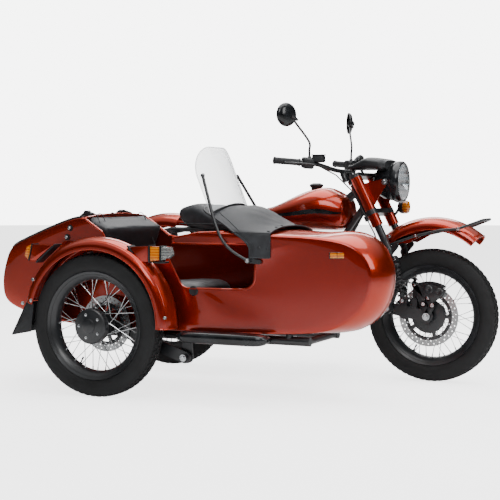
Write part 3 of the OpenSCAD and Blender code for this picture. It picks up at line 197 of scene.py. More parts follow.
def patterned(name, settings, fine, broad, tones, rough, relief, rough_by_fine=False):
    """A finish with a broad noise in its colour and a fine one in its relief.

    fine and broad are (size in mm, detail); tones, rough and relief are low and high colour,
    low and high roughness, and (depth in mm, strength).
    """
    material, tree, shader, place = surface(name, settings)
    small, large = (add(tree, "ShaderNodeTexNoise", {
        "Vector": place, "Scale": per_metre(size), "Detail": detail}).outputs["Fac"]
        for size, detail in (fine, broad))
    tree.links.new(two_tone(tree, large, *tones), shader.inputs["Base Color"])
    spread = add(tree, "ShaderNodeMapRange", {
        "Value": small if rough_by_fine else large, "To Min": rough[0], "To Max": rough[1]})
    tree.links.new(spread.outputs[0], shader.inputs["Roughness"])
    bumped(tree, shader, small, *relief)
    return material


def grained_vinyl(name, colour="#1c1d20", light="#2a2c30", grain_mm=2.2):
    """Embossed vinyl over foam: cells of grain with fine creases, satin with a soft sheen."""
    material, tree, shader, place = surface(name, {
        "Specular IOR Level": 0.42, "Sheen Weight": 0.03, "Sheen Roughness": 0.45})
    cells = add(tree, "ShaderNodeTexVoronoi", {"Vector": place, "Scale": per_metre(grain_mm)},
                feature="DISTANCE_TO_EDGE")
    creases = add(tree, "ShaderNodeTexNoise", {"Vector": place, "Scale": per_metre(30), "Detail": 5.0})
    tree.links.new(two_tone(tree, creases.outputs["Fac"], colour, light), shader.inputs["Base Color"])
    rough = add(tree, "ShaderNodeMapRange", {"Value": creases.outputs["Fac"], "To Min": 0.4, "To Max": 0.58})
    tree.links.new(rough.outputs[0], shader.inputs["Roughness"])
    raised = add(tree, "ShaderNodeMapRange", {"Value": cells.outputs["Distance"], "From Max": 0.22})
    height = add(tree, "ShaderNodeMath", {0: raised.outputs[0], 1: creases.outputs["Fac"]}, operation="ADD")
    bumped(tree, shader, height.outputs[0], 0.12, 0.4)
    return material


def ground_disc(name, axle):
    """Ground stainless brake disc: rings of fine lathe marks about the axle."""
    material, tree, shader, place = surface(name, {"Metallic": 1.0, "Roughness": 0.3})
    spot = add(tree, "ShaderNodeMapping", {"Vector": place, "Location": (-axle.x, 0, -axle.z)})
    flat = add(tree, "ShaderNodeVectorMath", {0: spot.outputs[0], 1: (1, 0, 1)}, operation="MULTIPLY")
    radius = add(tree, "ShaderNodeVectorMath", {0: flat.outputs[0]}, operation="LENGTH")
    rings = add(tree, "ShaderNodeTexNoise",
                {"W": radius.outputs["Value"], "Scale": per_metre(0.9), "Detail": 3.0},
                noise_dimensions="1D")
    tree.links.new(two_tone(tree, rings.outputs["Fac"], "#8e9091", "#c3c5c6"), shader.inputs["Base Color"])
    bumped(tree, shader, rings.outputs["Fac"], 0.03, 0.5)
    return material


def lens_acrylic(name, colour, light, clear=0.35, rib_mm=6.0):
    """Moulded acrylic lens: coloured right through, with prism ribs inside."""
    material, tree, shader, place = surface(name, {
        "Roughness": 0.08, "Transmission Weight": clear, "IOR": 1.49, "Coat Weight": 0.6,
        "Coat Roughness": 0.04})
    ribs = add(tree, "ShaderNodeTexWave",
               {"Vector": place, "Scale": per_metre(rib_mm) / 6.283, "Distortion": 0.0},
               bands_direction="Z")
    tree.links.new(two_tone(tree, ribs.outputs["Fac"], colour, light), shader.inputs["Base Color"])
    bumped(tree, shader, ribs.outputs["Fac"], 0.5, 0.5)
    return material


def clear_acrylic(name, colour="#dfe5ea", alpha=0.24):
    """Clear acrylic sheet: nearly invisible face on, with a faint milky tint; where it turns away from the
    eye it grows opaque and pale, a painted reflection.
    """
    material, tree, shader, place = surface(name, {
        "Roughness": 0.03, "IOR": 1.49, "Specular IOR Level": 0.6, "Coat Weight": 0.5,
        "Coat Roughness": 0.02})
    haze = add(tree, "ShaderNodeTexNoise", {"Vector": place, "Scale": per_metre(220), "Detail": 2.0})
    tree.links.new(two_tone(tree, haze.outputs["Fac"], colour, "#f6f8fa"), shader.inputs["Base Color"])
    # painted reflection: the sheet grows more opaque, and so paler, where it turns away from the eye
    facing = add(tree, "ShaderNodeLayerWeight", {"Blend": 0.25})
    grazing_reflection = add(tree, "ShaderNodeMapRange", {
        "Value": facing.outputs["Facing"], "To Min": alpha, "To Max": 0.75})
    tree.links.new(grazing_reflection.outputs[0], shader.inputs["Alpha"])
    return material


FINISHES = {}


def finish(look):
    """The material of a look, made once."""
    if look not in FINISHES:
        FINISHES[look] = patterned(*PATTERNED[look]) if look in PATTERNED else MAKERS[look]()
    return FINISHES[look]


def colours():
    """The colour settings in the panel."""
    return bpy.context.scene.sidecar_finishes


PLASTIC = {"Specular IOR Level": 0.45}
METAL = {"Metallic": 1.0}
PATTERNED = {
    # semi-gloss powder coat: fine, even orange peel that softens reflections
    "frame_black": ("powder coat, semi-gloss black", {"Coat Weight": 0.25, "Coat Roughness": 0.2},
                    (1.6, 2.0), (60, 4.0), ("#17181a", "#202225"), (0.3, 0.44), (0.05, 0.35)),
    # moulded ABS: even colour with a spark-eroded texture
    "black_plastic": ("moulded ABS, fine texture", PLASTIC,
                      (1.0, 2.0), (50, 3.0), ("#1a1b1d", "#222427"), (0.4, 0.55), (0.06, 0.35)),
    # cured tyre rubber: matt carbon black, mould bloom in faint patches
    "tyre": ("tyre rubber, carbon black", {"Specular IOR Level": 0.35},
             (2.5, 3.0), (45, 5.0), ("#101011", "#1b1c1d"), (0.58, 0.78), (0.25, 0.35)),
    # sheet and hose rubber: satin, slightly wavy
    "hose_rubber": ("sheet rubber, satin", PLASTIC,
                    (3.0, 2.0), (50, 3.0), ("#121314", "#222427"), (0.5, 0.65), (0.06, 0.35)),
    # polished stainless steel with a faint draw grain
    "bright_steel": ("stainless steel, polished", METAL,
                     (0.8, 3.0), (25, 3.0), ("#a9acaf", "#d6d8da"), (0.112, 0.24), (0.02, 0.2)),
    # drawn spoke wire
    "spoke_steel": ("spoke wire, drawn stainless", METAL,
                    (0.8, 3.0), (25, 3.0), ("#a9acaf", "#e4e5e6"), (0.14, 0.3), (0.02, 0.2)),
    # sand-cast aluminium: pebbled skin, darker pores
    "cast_alloy": ("cast aluminium, bead blasted", {"Metallic": 0.9},
                   (3, 5.0), (70, 3.0), ("#6c6f72", "#8d9092"), (0.42, 0.62), (0.2, 0.5), True),
    # gloss ABS, nearly even
    "mirror_black": ("gloss ABS, black", PLASTIC,
                     (40.0, 2.0), (50, 3.0), ("#0d0e0f", "#222427"), (0.07, 0.22), (0.06, 0.35)),
    # silvered glass
    "mirror_glass": ("silvered mirror glass", METAL,
                     (200.0, 3.0), (25, 3.0), ("#a9acaf", "#eef0f2"), (0.014, 0.03), (0.02, 0.2)),
}
MAKERS = {
    # the paint's edge colour is a painted highlight
    "gloss_paint": lambda: metallic_paint(
        "metallic paint, burnt orange", colours().paint_highlight_edge, colours().paint_face),
    "black_vinyl": lambda: grained_vinyl("upholstery vinyl, satin black"),
    "amber_lens": lambda: lens_acrylic("acrylic lens, amber", "#d86a04", "#f59a1c"),
    "red_lens": lambda: lens_acrylic("acrylic lens, red", "#7c0808", "#b31414"),
    "head_glass": lambda: lens_acrylic("lamp glass, clear fluted", "#dfe5e8", "#ffffff", 0.85, 14.0),
    "white_lens": lambda: lens_acrylic("acrylic lens, clear", "#8d908f", "#b4b7b5", 0.6),
    "clear_screen": lambda: clear_acrylic("clear acrylic sheet"),
}

# ---------------------------------------------------------------- modelling


def deliver(name, bm, look, body, replaces=(), angle=38, thickness=0.0, bevel=0.0):
    """Turns a bmesh into a finished piece that rides a body.

    thickness, in mm, makes an open skin a wall inwards; bevel, in mm, rounds sharp edges.
    """
    bmesh.ops.transform(bm, matrix=TO_FRAME, verts=bm.verts)
    mesh = bpy.data.meshes.new(name)
    bm.to_mesh(mesh)
    bm.free()
    piece = bpy.data.objects.new(name, mesh)
    bpy.context.scene.collection.objects.link(piece)
    mesh.materials.append(finish(look))
    if thickness:
        wall = piece.modifiers.new("wall", "SOLIDIFY")
        wall.thickness = thickness * MM
        wall.offset = -1
        wall.use_even_offset = True
    if bevel:
        edge = piece.modifiers.new("edge", "BEVEL")
        edge.width = bevel * MM
        edge.segments = 2
        edge.limit_method = "ANGLE"
        edge.angle_limit = radians(50)
    if piece.modifiers:
        settle(piece)
    piece.data.shade_smooth()
    piece.data.set_sharp_from_angle(angle=radians(angle))
    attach(piece, body)
    if replaces:
        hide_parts(*replaces)
    return piece


def settle(piece):
    """Applies a piece's modifiers to its mesh."""
    graph = bpy.context.evaluated_depsgraph_get()
    baked = bpy.data.meshes.new_from_object(piece.evaluated_get(graph))
    piece.modifiers.clear()
    piece.data = baked


def shapes(count):
    """That many empty shapes."""
    return [bmesh.new() for _ in range(count)]


def ring(bm, points):
    """Closed loop of edges through points."""
    verts = [bm.verts.new(p) for p in points]
    return [bm.edges.new((a, b)) for a, b in zip(verts, verts[1:] + verts[:1])]


def strand(bm, points):
    """Open row of edges through points."""
    verts = [bm.verts.new(p) for p in points]
    return [bm.edges.new(pair) for pair in zip(verts, verts[1:])]


def skin(bm, loops, ends=True, make=ring):
    """Bridges loop to loop, closes the ends with a face each, and returns the loops' edges."""
    rows = [make(bm, loop) for loop in loops]
    for low, high in zip(rows, rows[1:]):
        bmesh.ops.bridge_loops(bm, edges=low + high)
    if ends:
        for row in (rows[0], rows[-1]):
            bmesh.ops.contextual_create(bm, geom=row)
    bmesh.ops.recalc_face_normals(bm, faces=bm.faces)
    return rows


def into(bm, part, place=None):
    """Adds a finished shape, placed by a matrix, to a piece."""
    bmesh.ops.recalc_face_normals(part, faces=part.faces)
    if place:
        bmesh.ops.transform(part, matrix=place, verts=part.verts)
    mesh = bpy.data.meshes.new("part")
    part.to_mesh(mesh)
    part.free()
    bm.from_mesh(mesh)
    bpy.data.meshes.remove(mesh)


def mirrored(profile):
    """(radius, y) points on the other side, in the other order."""
    return [(r, -y) for r, y in reversed(profile)]


def spun(bm, points, cent, axis, angle, steps, near, place=None):
    """Adds a row of points spun about an axle, closed up after a full turn."""
    part = bmesh.new()
    edges = strand(part, points)
    bmesh.ops.spin(part, geom=part.verts[:] + edges, cent=cent, axis=axis, angle=angle, steps=steps,
                   use_merge=angle == tau, use_duplicate=False)
    bmesh.ops.remove_doubles(part, verts=part.verts, dist=near)
    into(bm, part, place)


def turned(bm, profile, at, start=0.0, sweep=360.0, steps=96):
    """Spins (radius, y) points about an axle through at, from an angle above forward."""
    a = radians(start)
    row = [(at[0] + r * cos(a), at[1] + y, at[2] + r * sin(a)) for r, y in profile]
    spun(bm, row, at, (0, -1, 0), radians(sweep), steps, 0.02)


def facing(axis):
    """Rotation that turns +Z to an axis."""
    return Vector(axis).to_track_quat("Z", "Y").to_matrix().to_4x4()


def lathe(bm, profile, at, axis, steps=32):
    """Spins (radius, height) points about an axis through at."""
    spun(bm, [(r, 0, h) for r, h in profile], (0, 0, 0), (0, 0, 1), tau, steps, 0.01,
         Matrix.Translation(at) @ facing(axis))


def eased(points, per=6):
    """Smooth row of points through the given ones."""
    points = [Vector(p) for p in points]
    ends = [2 * points[0] - points[1]] + points + [2 * points[-1] - points[-2]]
    out = []
    for a, b, c, d in zip(ends, ends[1:], ends[2:], ends[3:]):
        for k in range(per):
            t = k / per
            out.append(0.5 * (2 * b + (c - a) * t + (2 * a - 5 * b + 4 * c - d) * t * t
                              + (3 * b - a - 3 * c + d) * t ** 3))
    return out + [points[-1]]


def rod(bm, points, radius, sides=12, smooth=True, per=6):
    """Round rod along points, which it rounds off unless smooth is off."""
    row = eased(points, per) if smooth and len(points) > 2 else [Vector(p) for p in points]
    loops, turn = [], None
    for k, point in enumerate(row):
        ahead = (row[min(k + 1, len(row) - 1)] - row[max(k - 1, 0)]).normalized()
        if turn is None:
            turn = ahead.to_track_quat("Z", "Y")
        else:
            turn = (turn @ Vector((0, 0, 1))).rotation_difference(ahead) @ turn
        loops.append([point + turn @ Vector((radius * cos(tau * i / sides),
                                             radius * sin(tau * i / sides), 0))
                      for i in range(sides)])
    part = bmesh.new()
    skin(part, loops)
    into(bm, part)


def block(bm, at, size, turn=None, bevel=0.0, segments=2):
    """Box about a point, with its edges rounded."""
    part = bmesh.new()
    made = bmesh.ops.create_cube(part, size=1.0)["verts"]
    bmesh.ops.transform(part, matrix=Matrix.Diagonal((*size, 1)), verts=made)
    if bevel:
        bmesh.ops.bevel(part, geom=part.edges[:], offset=bevel, affect="EDGES", segments=segments,
                        profile=0.5, material=-1)
    into(bm, part, Matrix.Translation(at) @ (turn or Matrix.Identity(4)))


WASHER = 1.6


def bolt(bm, at, axis, radius=7.0, height=6.0):
    """Hexagon bolt head on its washer, standing off a face."""
    away = Vector(axis).normalized()
    for sides, low, high, depth, middle in ((20, 1.45, 1.4, WASHER, WASHER / 2),
                                            (6, 1, 1, height * 0.8, WASHER + height * 0.4),
                                            (12, 0.86, 0.6, height * 0.2, WASHER + height * 0.9)):
        bmesh.ops.create_cone(bm, cap_ends=True, segments=sides, radius1=radius * low,
                              radius2=radius * high, depth=depth,
                              matrix=Matrix.Translation(Vector(at) + away * middle) @ facing(axis))


def slab(bm, outline, y0, y1):
    """Plate square to Y with an (x, z) outline."""
    part = bmesh.new()
    skin(part, [[(x, y, z) for x, z in outline] for y in (y0, y1)])
    into(bm, part)


def rounded(corners, steps=6):
    """Outline whose corners, (x, z, radius), are turned into arcs."""
    out = []
    count = len(corners)
    for i, (x, z, radius) in enumerate(corners):
        here = Vector((x, z))
        before = (Vector(corners[i - 1][:2]) - here).normalized()
        after = (Vector(corners[(i + 1) % count][:2]) - here).normalized()
        half = before.angle(after) / 2
        reach = radius / tan(half)
        middle = here + (before + after).normalized() * radius / sin(half)
        first, last = here + before * reach - middle, here + after * reach - middle
        for k in range(steps + 1):
            out.append(middle + first.slerp(last, k / steps))
    return [(p.x, p.y) for p in out]


def link_outline(a, b, ra, rb, steps=10):
    """Outline of a flat link between two eyes."""
    a, b = Vector(a), Vector(b)
    turn = atan2(b.y - a.y, b.x - a.x)
    ends = [(a, ra, turn + pi / 2), (b, rb, turn - pi / 2)]
    return [(c.x + r * cos(s + pi * k / steps), c.y + r * sin(s + pi * k / steps))
            for c, r, s in ends for k in range(steps + 1)]


def solved(target, cutter, operation):
    """Result of a boolean of two closed bmeshes; the second's faces get material 1."""
    pair = []
    for index, bm in enumerate((target, cutter)):
        for face in bm.faces:
            face.material_index = index
        mesh = bpy.data.meshes.new("cut")
        bm.to_mesh(mesh)
        bm.free()
        mesh.materials.append(None)
        mesh.materials.append(None)
        pair.append(bpy.data.objects.new("cut", mesh))
        bpy.context.scene.collection.objects.link(pair[-1])
    cut = pair[0].modifiers.new("cut", "BOOLEAN")
    cut.operation = operation
    cut.solver = "EXACT"
    cut.object = pair[1]
    settle(pair[0])
    out = bmesh.new()
    out.from_mesh(pair[0].data)
    for holder in pair:
        bpy.data.objects.remove(holder)
    return out


def boolean(target, cutter, operation):
    """The first shape's own skin after a boolean, left open where the cutter's faces were."""
    out = solved(target, cutter, operation)
    bmesh.ops.delete(out, geom=[f for f in out.faces if f.material_index == 1], context="FACES")
    return out


def borders(bm):
    """Rows of points along the open edges of a skin.

    The edges are taken by place, not by number, so that each build walks them alike.
    """
    loose = dict.fromkeys(sorted((e for e in bm.edges if e.is_boundary),
                                 key=lambda e: tuple(e.verts[0].co + e.verts[1].co)))
    loops = []
    while loose:
        edge, _ = loose.popitem()
        row = sorted(edge.verts, key=lambda vert: tuple(vert.co))
        while True:
            step = next((e for e in row[-1].link_edges if e in loose), None)
            if step is None:
                break
            del loose[step]
            row.append(step.other_vert(row[-1]))
        loops.append([v.co.copy() for v in row[:-1]] if row[0] == row[-1] else [v.co.copy() for v in row])
    return sorted(loops, key=len, reverse=True)


def bead(bm, points, radius, closed=True):
    """Round bead along a row of points."""
    curve = bpy.data.curves.new("bead", "CURVE")
    curve.dimensions = "3D"
    curve.bevel_depth = radius
    curve.bevel_resolution = 2
    curve.use_fill_caps = not closed
    spline = curve.splines.new("POLY")
    spline.points.add(len(points) - 1)
    for place, point in zip(spline.points, points):
        place.co = (*point, 1)
    spline.use_cyclic_u = closed
    holder = bpy.data.objects.new("bead", curve)
    bpy.context.scene.collection.objects.link(holder)
    graph = bpy.context.evaluated_depsgraph_get()
    bm.from_mesh(bpy.data.meshes.new_from_object(holder.evaluated_get(graph)))
    bpy.data.objects.remove(holder)


def plumped(name, bm, look, body, replaces, cap, voxel=7.0):
    """Delivers a pad: remeshed, swollen as cloth under pressure by at most cap mm, and softened."""
    piece = deliver(name, bm, look, body, replaces, angle=80)
    even = piece.modifiers.new("even", "REMESH")
    even.mode = "VOXEL"
    even.voxel_size = voxel * MM
    even.use_smooth_shade = True
    settle(piece)
    before = [v.co.copy() for v in piece.data.vertices]
    cloth = piece.modifiers.new("air", "CLOTH")
    cloth.settings.use_pressure = True
    cloth.settings.uniform_pressure_force = 4
    cloth.settings.effector_weights.gravity = 0
    cloth.point_cache.frame_start, cloth.point_cache.frame_end = 1, 20
    for moment in range(1, 21):
        bpy.context.scene.frame_set(moment)
    settle(piece)
    bpy.context.scene.frame_set(1)
    for vert, start in zip(piece.data.vertices, before):
        move = vert.co - start
        if move.length > cap * MM:
            vert.co = start + move.normalized() * cap * MM
    soft = piece.modifiers.new("soft", "CORRECTIVE_SMOOTH")
    soft.iterations = 4
    soft.use_only_smooth = True
    finer = piece.modifiers.new("finer", "SUBSURF")
    finer.levels = finer.render_levels = 1
    settle(piece)
    piece.data.shade_smooth()
    return piece

# ---------------------------------------------------------------- sidecar body


BODY_Y = local(centre("sidecar_body")).y
BODY_W, NOSE_W, BODY_FLOOR = 560, 260, 305
BODY_POINTS = [(-300, 368), (-386, 410), (-398, 500), (-378, 590), (-346, 664), (-250, 706), (10, 802),
               (96, 812), (230, 770), (420, 752), (700, 752), (1012, 742), (1240, 730), (1372, 696),
               (1438, 610), (1444, 520), (1412, 430), (1330, 358), (1230, 311), (1000, 305), (600, 305),
               (200, 305), (-100, 319)]


def softened(points, times):
    """Closed outline with its corners cut, again and again."""
    points = [Vector(p) for p in points]
    for _ in range(times):
        points = [a.lerp(b, s) for a, b in zip(points, points[1:] + points[:1]) for s in (0.25, 0.75)]
    return points


def body_half(x):
    """Half width of the body at a place along it."""
    return lerp(BODY_W, NOSE_W, ramp((x - 760) / 780) ** 0.9) / 2 - 26 * ramp((60 - x) / 470) ** 1.2


def swell(p):
    """How far the strip between the side panels stands out."""
    return (16 + 46 * ramp((p.x - 1150) / 280) + 30 * ramp((-60 - p.x) / 320)
            - 10 * ramp((BODY_FLOOR + 60 - p.y) / 60))


def drum(wall=0.0, crease=9.0):
    """Closed body: two side panels and a strip that swells between them."""
    bm = bmesh.new()
    line = softened(BODY_POINTS, 3)
    count = len(line)
    away = []
    for i in range(count):
        along = line[(i + 1) % count] - line[i - 1]
        away.append(Vector((-along.y, along.x)).normalized())
    line = [p - a * wall for p, a in zip(line, away)]
    core = Vector((620, 540))
    stations = []
    for size, side in ((0.25, -1), (0.6, -1), (0.9, -1)):
        stations.append([(q.x, BODY_Y + side * (body_half(q.x) - wall), q.y)
                         for q in (core + (p - core) * size for p in line)])
    for step in range(17):
        s = step / 8 - 1
        s = copysign(abs(s) ** 0.8, s)
        points = [(p, p + a * (1 - s * s) * swell(p)) for p, a in zip(line, away)]
        stations.append([(q.x, BODY_Y + s * (body_half(p.x) - wall), q.y) for p, q in points])
    for size in (0.9, 0.6, 0.25):
        stations.append([(q.x, BODY_Y + body_half(q.x) - wall, q.y)
                         for q in (core + (p - core) * size for p in line)])
    rows = skin(bm, stations)
    if crease:
        bmesh.ops.bevel(bm, geom=rows[3] + rows[19], offset=crease, affect="EDGES", segments=4,
                        profile=0.5, material=-1)
    return bm


COCKPIT_RIM = ((92, 900, 1), (88, 800, 8), (151, 732, 30), (220, 684, 30), (289, 660, 40), (401, 656, 40),
               (700, 658, 90), (960, 690, 70), (1010, 760, 30), (1010, 900, 1))
NEAR_RIM = ((160, 780, 1), (160, 750, 20), (206, 660, 24), (290, 640, 40), (520, 626, 20), (560, 700, 4),
            (560, 780, 1))


def cockpit_cutter():
    """The open space over the cockpit, lower along the outer side."""
    bm, near = shapes(2)
    slab(bm, rounded(COCKPIT_RIM), BODY_Y - 420, BODY_Y + 420)
    slab(near, rounded(NEAR_RIM), BODY_Y - 420, BODY_Y - 200)
    return joined(bm, near)


def step_cutter():
    """The step-in notch of the outer side panel."""
    bm = bmesh.new()
    circles = ((636, 548, 50), (897, 550, 50), (506, 692, 6), (945, 692, 8))
    verts = [bm.verts.new((x + r * cos(tau * k / 32), y, z + r * sin(tau * k / 32)))
             for x, z, r in circles for k in range(32) for y in (BODY_Y - 430, BODY_Y - 190)]
    made = bmesh.ops.convex_hull(bm, input=verts)
    bmesh.ops.delete(bm, geom=[v for v in made["geom_interior"] if isinstance(v, bmesh.types.BMVert)],
                     context="VERTS")
    bmesh.ops.recalc_face_normals(bm, faces=bm.faces)
    return bm


LID_HINGE, LID_REAR = Vector((26, 832)), Vector((-330, 664))
LID_LOW = ((-420, 716), (-390, 700), (-330, 664), (-300, 650), (26, 786), (60, 800))


def lid_cutter(grow):
    """The room of the trunk lid, grown by the gap round it."""
    bm = bmesh.new()
    loops = []
    ends = (LID_REAR.x - 90 - grow, LID_HINGE.x + grow)
    for k in range(25):
        x = lerp(*ends, k / 24)
        low = next((lerp(a[1], b[1], (x - a[0]) / (b[0] - a[0])) for a, b in zip(LID_LOW, LID_LOW[1:])
                    if a[0] <= x <= b[0]), LID_LOW[0][1]) - grow
        half = body_half(x) - 18 + grow
        loops.append([(x, BODY_Y - half, low), (x, BODY_Y + half, low), (x, BODY_Y + half, 1000),
                      (x, BODY_Y - half, 1000)])
    skin(bm, loops)
    return bm


def joined(a, b):
    """One closed shape out of two that overlap."""
    return solved(a, b, "UNION")


def build_body():
    """Tub skin with its lining, rolled rim and trunk seal."""
    hole = joined(joined(cockpit_cutter(), step_cutter()), lid_cutter(6))
    shell = boolean(drum(), hole.copy(), "DIFFERENCE")
    rims = [row for row in borders(shell) if len(row) > 20]
    deliver("tub", shell, "gloss_paint", "chassis", ["sidecar_body"], thickness=3, angle=30)
    deliver("tub_lining", boolean(drum(8, 0), hole, "DIFFERENCE"), "gloss_paint", "chassis", thickness=4,
            angle=30)
    rolled, seal = shapes(2)
    for row in rims:
        at_trunk = sum(p.x for p in row) / len(row) < 60
        bead(seal if at_trunk else rolled, row, 4.0 if at_trunk else 5.0)
    deliver("tub_rim", rolled, "gloss_paint", "chassis")
    deliver("trunk_seal", seal, "hose_rubber", "chassis")
    # rubber lip standing along the trunk's top edges
    lip = bmesh.new()
    top = [q for q in softened(BODY_POINTS, 3) if -326 < q.x < 70 and q.y > 600]
    for side in (-1, 1):
        bead(lip, [Vector((q.x, BODY_Y + side * (body_half(q.x) - 7), q.y + 3.5)) for q in top], 5.0,
             closed=False)
    deliver("trunk_lip", lip, "hose_rubber", "chassis")
    # painted bulkhead behind the backrest and riser under the cushion
    board = bmesh.new()
    loops = []
    for x, z in ((61, 798), (74, 798), (186, 322), (173, 322)):
        half = body_half(x) - 14
        loops.append(((x, BODY_Y - half, z), (x, BODY_Y + half, z)))
    wall = bmesh.new()
    skin(wall, [[pair[k] for pair in loops] for k in (0, 1)])
    into(board, wall)
    slab(board, [(190, 322), (190, 340), (654, 372), (654, 322)], BODY_Y - 250, BODY_Y + 250)
    deliver("tub_bulkhead", board, "gloss_paint", "chassis", bevel=4)


def build_lid():
    """Trunk lid: pressed skin, lining, return edge and hinge straps."""
    top = boolean(drum(), lid_cutter(0), "INTERSECT")
    row = borders(top)[0]
    deliver("lid", top, "gloss_paint", "trunk_lid", ["trunk_lid"], thickness=4, angle=30)
    under = boolean(drum(5, 0), lid_cutter(-8), "INTERSECT")
    deliver("lid_lining", under, "hose_rubber", "trunk_lid", thickness=3)
    edge = bmesh.new()
    bead(edge, row, 2.2)
    deliver("lid_edge", edge, "gloss_paint", "trunk_lid")
    straps = bmesh.new()
    for side in (-150, 150):
        slab(straps, link_outline(LID_HINGE, LID_HINGE + Vector((-48, -33)), 8.5, 8), BODY_Y + side - 14,
             BODY_Y + side + 14)
        lathe(straps, [(0, -18), (5, -18), (6, -16), (6, 16), (5, 18), (0, 18)],
              (LID_HINGE.x, BODY_Y + side, LID_HINGE.y), (0, 1, 0), 16)
    deliver("lid_straps", straps, "frame_black", "trunk_lid", bevel=1)


def build_body_trim():
    """Side reflector, drain plug and the trunk's side bolts."""
    metal, rubber = shapes(2)
    near = BODY_Y - BODY_W / 2
    for x, z in ((11, 760), (-6, 717)):
        bolt(metal, (x, BODY_Y - body_half(x), z), (-0.1, -1, 0), 9, 9)
        lathe(rubber, [(0, 0), (15, 0), (15, 1.6), (0, 2)], (x, BODY_Y - body_half(x), z), (-0.1, -1, 0))
    deliver("trunk_bolts", metal, "bright_steel", "chassis", angle=30)
    lathe(rubber, [(0, -1), (22, -1), (23, 2), (19, 5), (12, 3), (0, 2.5)], (662, near, 488), (0, -1, 0))
    deliver("tub_plugs", rubber, "hose_rubber", "chassis")
    x = 1299
    half = body_half(x)
    aim = Vector((0.42, -1, 0)).normalized()
    turn = Matrix.Rotation(atan2(0.42, 1), 4, "Z")
    case, lens = shapes(2)
    place = Vector((x, BODY_Y - half, 654))
    block(case, place + aim * 2, (68, 6, 30), turn, 2.5)
    for step in (-15.5, 15.5):
        block(lens, place + aim * 6 + turn @ Vector((step, 0, 0)), (29, 5, 24), turn, 2)
    deliver("reflector_case", case, "black_plastic", "chassis")
    deliver("reflector", lens, "amber_lens", "chassis")


def build_sidecar_pads():
    """Backrest and cushion of the sidecar, with the backrest's sewn seams and studs."""
    half = BODY_W / 2 - 36
    back = bmesh.new()
    side = [Vector(q) for q in rounded([(141, 512, 6), (84, 768, 8), (97, 786, 4), (98, 810, 8),
                                        (104, 822, 8), (119, 825, 12), (133, 812, 20), (163, 741, 40),
                                        (202, 650, 60), (253, 530, 14), (248, 512, 8)])]
    core = Vector((150, 650))
    loops = []
    for y, size in ((-261, 0.9), (-259, 0.96), (-252, 0.99), (-240, 1), (-120, 1), (0, 1), (120, 1), (240, 1),
                    (252, 0.99), (259, 0.96), (261, 0.9)):
        loops.append([(q.x, BODY_Y + y, q.y) for q in (core + (p - core) * size for p in side)])
    skin(back, loops)
    plumped("backrest", back, "black_vinyl", "chassis", ["sidecar_backrest"], 5)
    seams, studs = shapes(2)
    for y in (-238, -188, 188):
        line = ((102, 818), (112, 826), (124, 824), (136, 811), (167, 742), (206, 651), (238, 578))
        rod(seams, [(x, BODY_Y + y, z) for x, z in line], 1.8, 8)
    for y in (-250, -60):
        lathe(studs, [(0, 0), (7, 0), (7, 3), (4, 6), (0, 6.4)], (106, BODY_Y + y, 825), (0, 0, 1))
    deliver("backrest_seams", seams, "black_vinyl", "chassis")
    deliver("backrest_studs", studs, "black_plastic", "chassis")
    seat = bmesh.new()
    loops = []
    for k in range(17):
        a = radians(-86 + 172 * k / 16)
        fat = max(0.15, cos(a)) ** 0.28
        loops.append([(218 * sin(a), (half - 6) * fat * signed_power(sin(b), 0.35),
                       66 * fat * signed_power(cos(b), 0.5)) for b in (tau * i / 48 for i in range(48))])
    skin(seat, loops)
    lie = Matrix.Translation((430, BODY_Y, 434)) @ Matrix.Rotation(radians(-4), 4, "Y")
    bmesh.ops.transform(seat, matrix=lie, verts=seat.verts)
    plumped("cushion", seat, "black_vinyl", "chassis", ["sidecar_seat"], 8, 8)


# the cover's rear edge, and its length from there to its front edge
APRON_X, APRON_L = 640, 376


def apron_point(u, v, lift=0.0):
    """Point of the padded cover: u runs forward, v across, lift outwards."""
    x = lerp(lerp(APRON_X, 930, ramp((abs(v) - 0.28) / 0.62)), APRON_X + APRON_L, u)
    w = (x - APRON_X) / APRON_L
    half = body_half(x) + 8 + lift
    corner = lerp(758, 748, w) + lift
    crown = lerp(866, 776, ramp((w - 0.45) * 1.8)) + lift
    edge = lerp(690, 640, ramp(w * 1.4))
    top = min(1.0, abs(v) / 0.7)
    flap = max(0.0, abs(v) - 0.7) / 0.3
    shoulder = lerp(crown, corner, top ** 2.4)
    return Vector((x, BODY_Y + copysign(half * top ** 0.92, v), lerp(shoulder, edge, flap)))


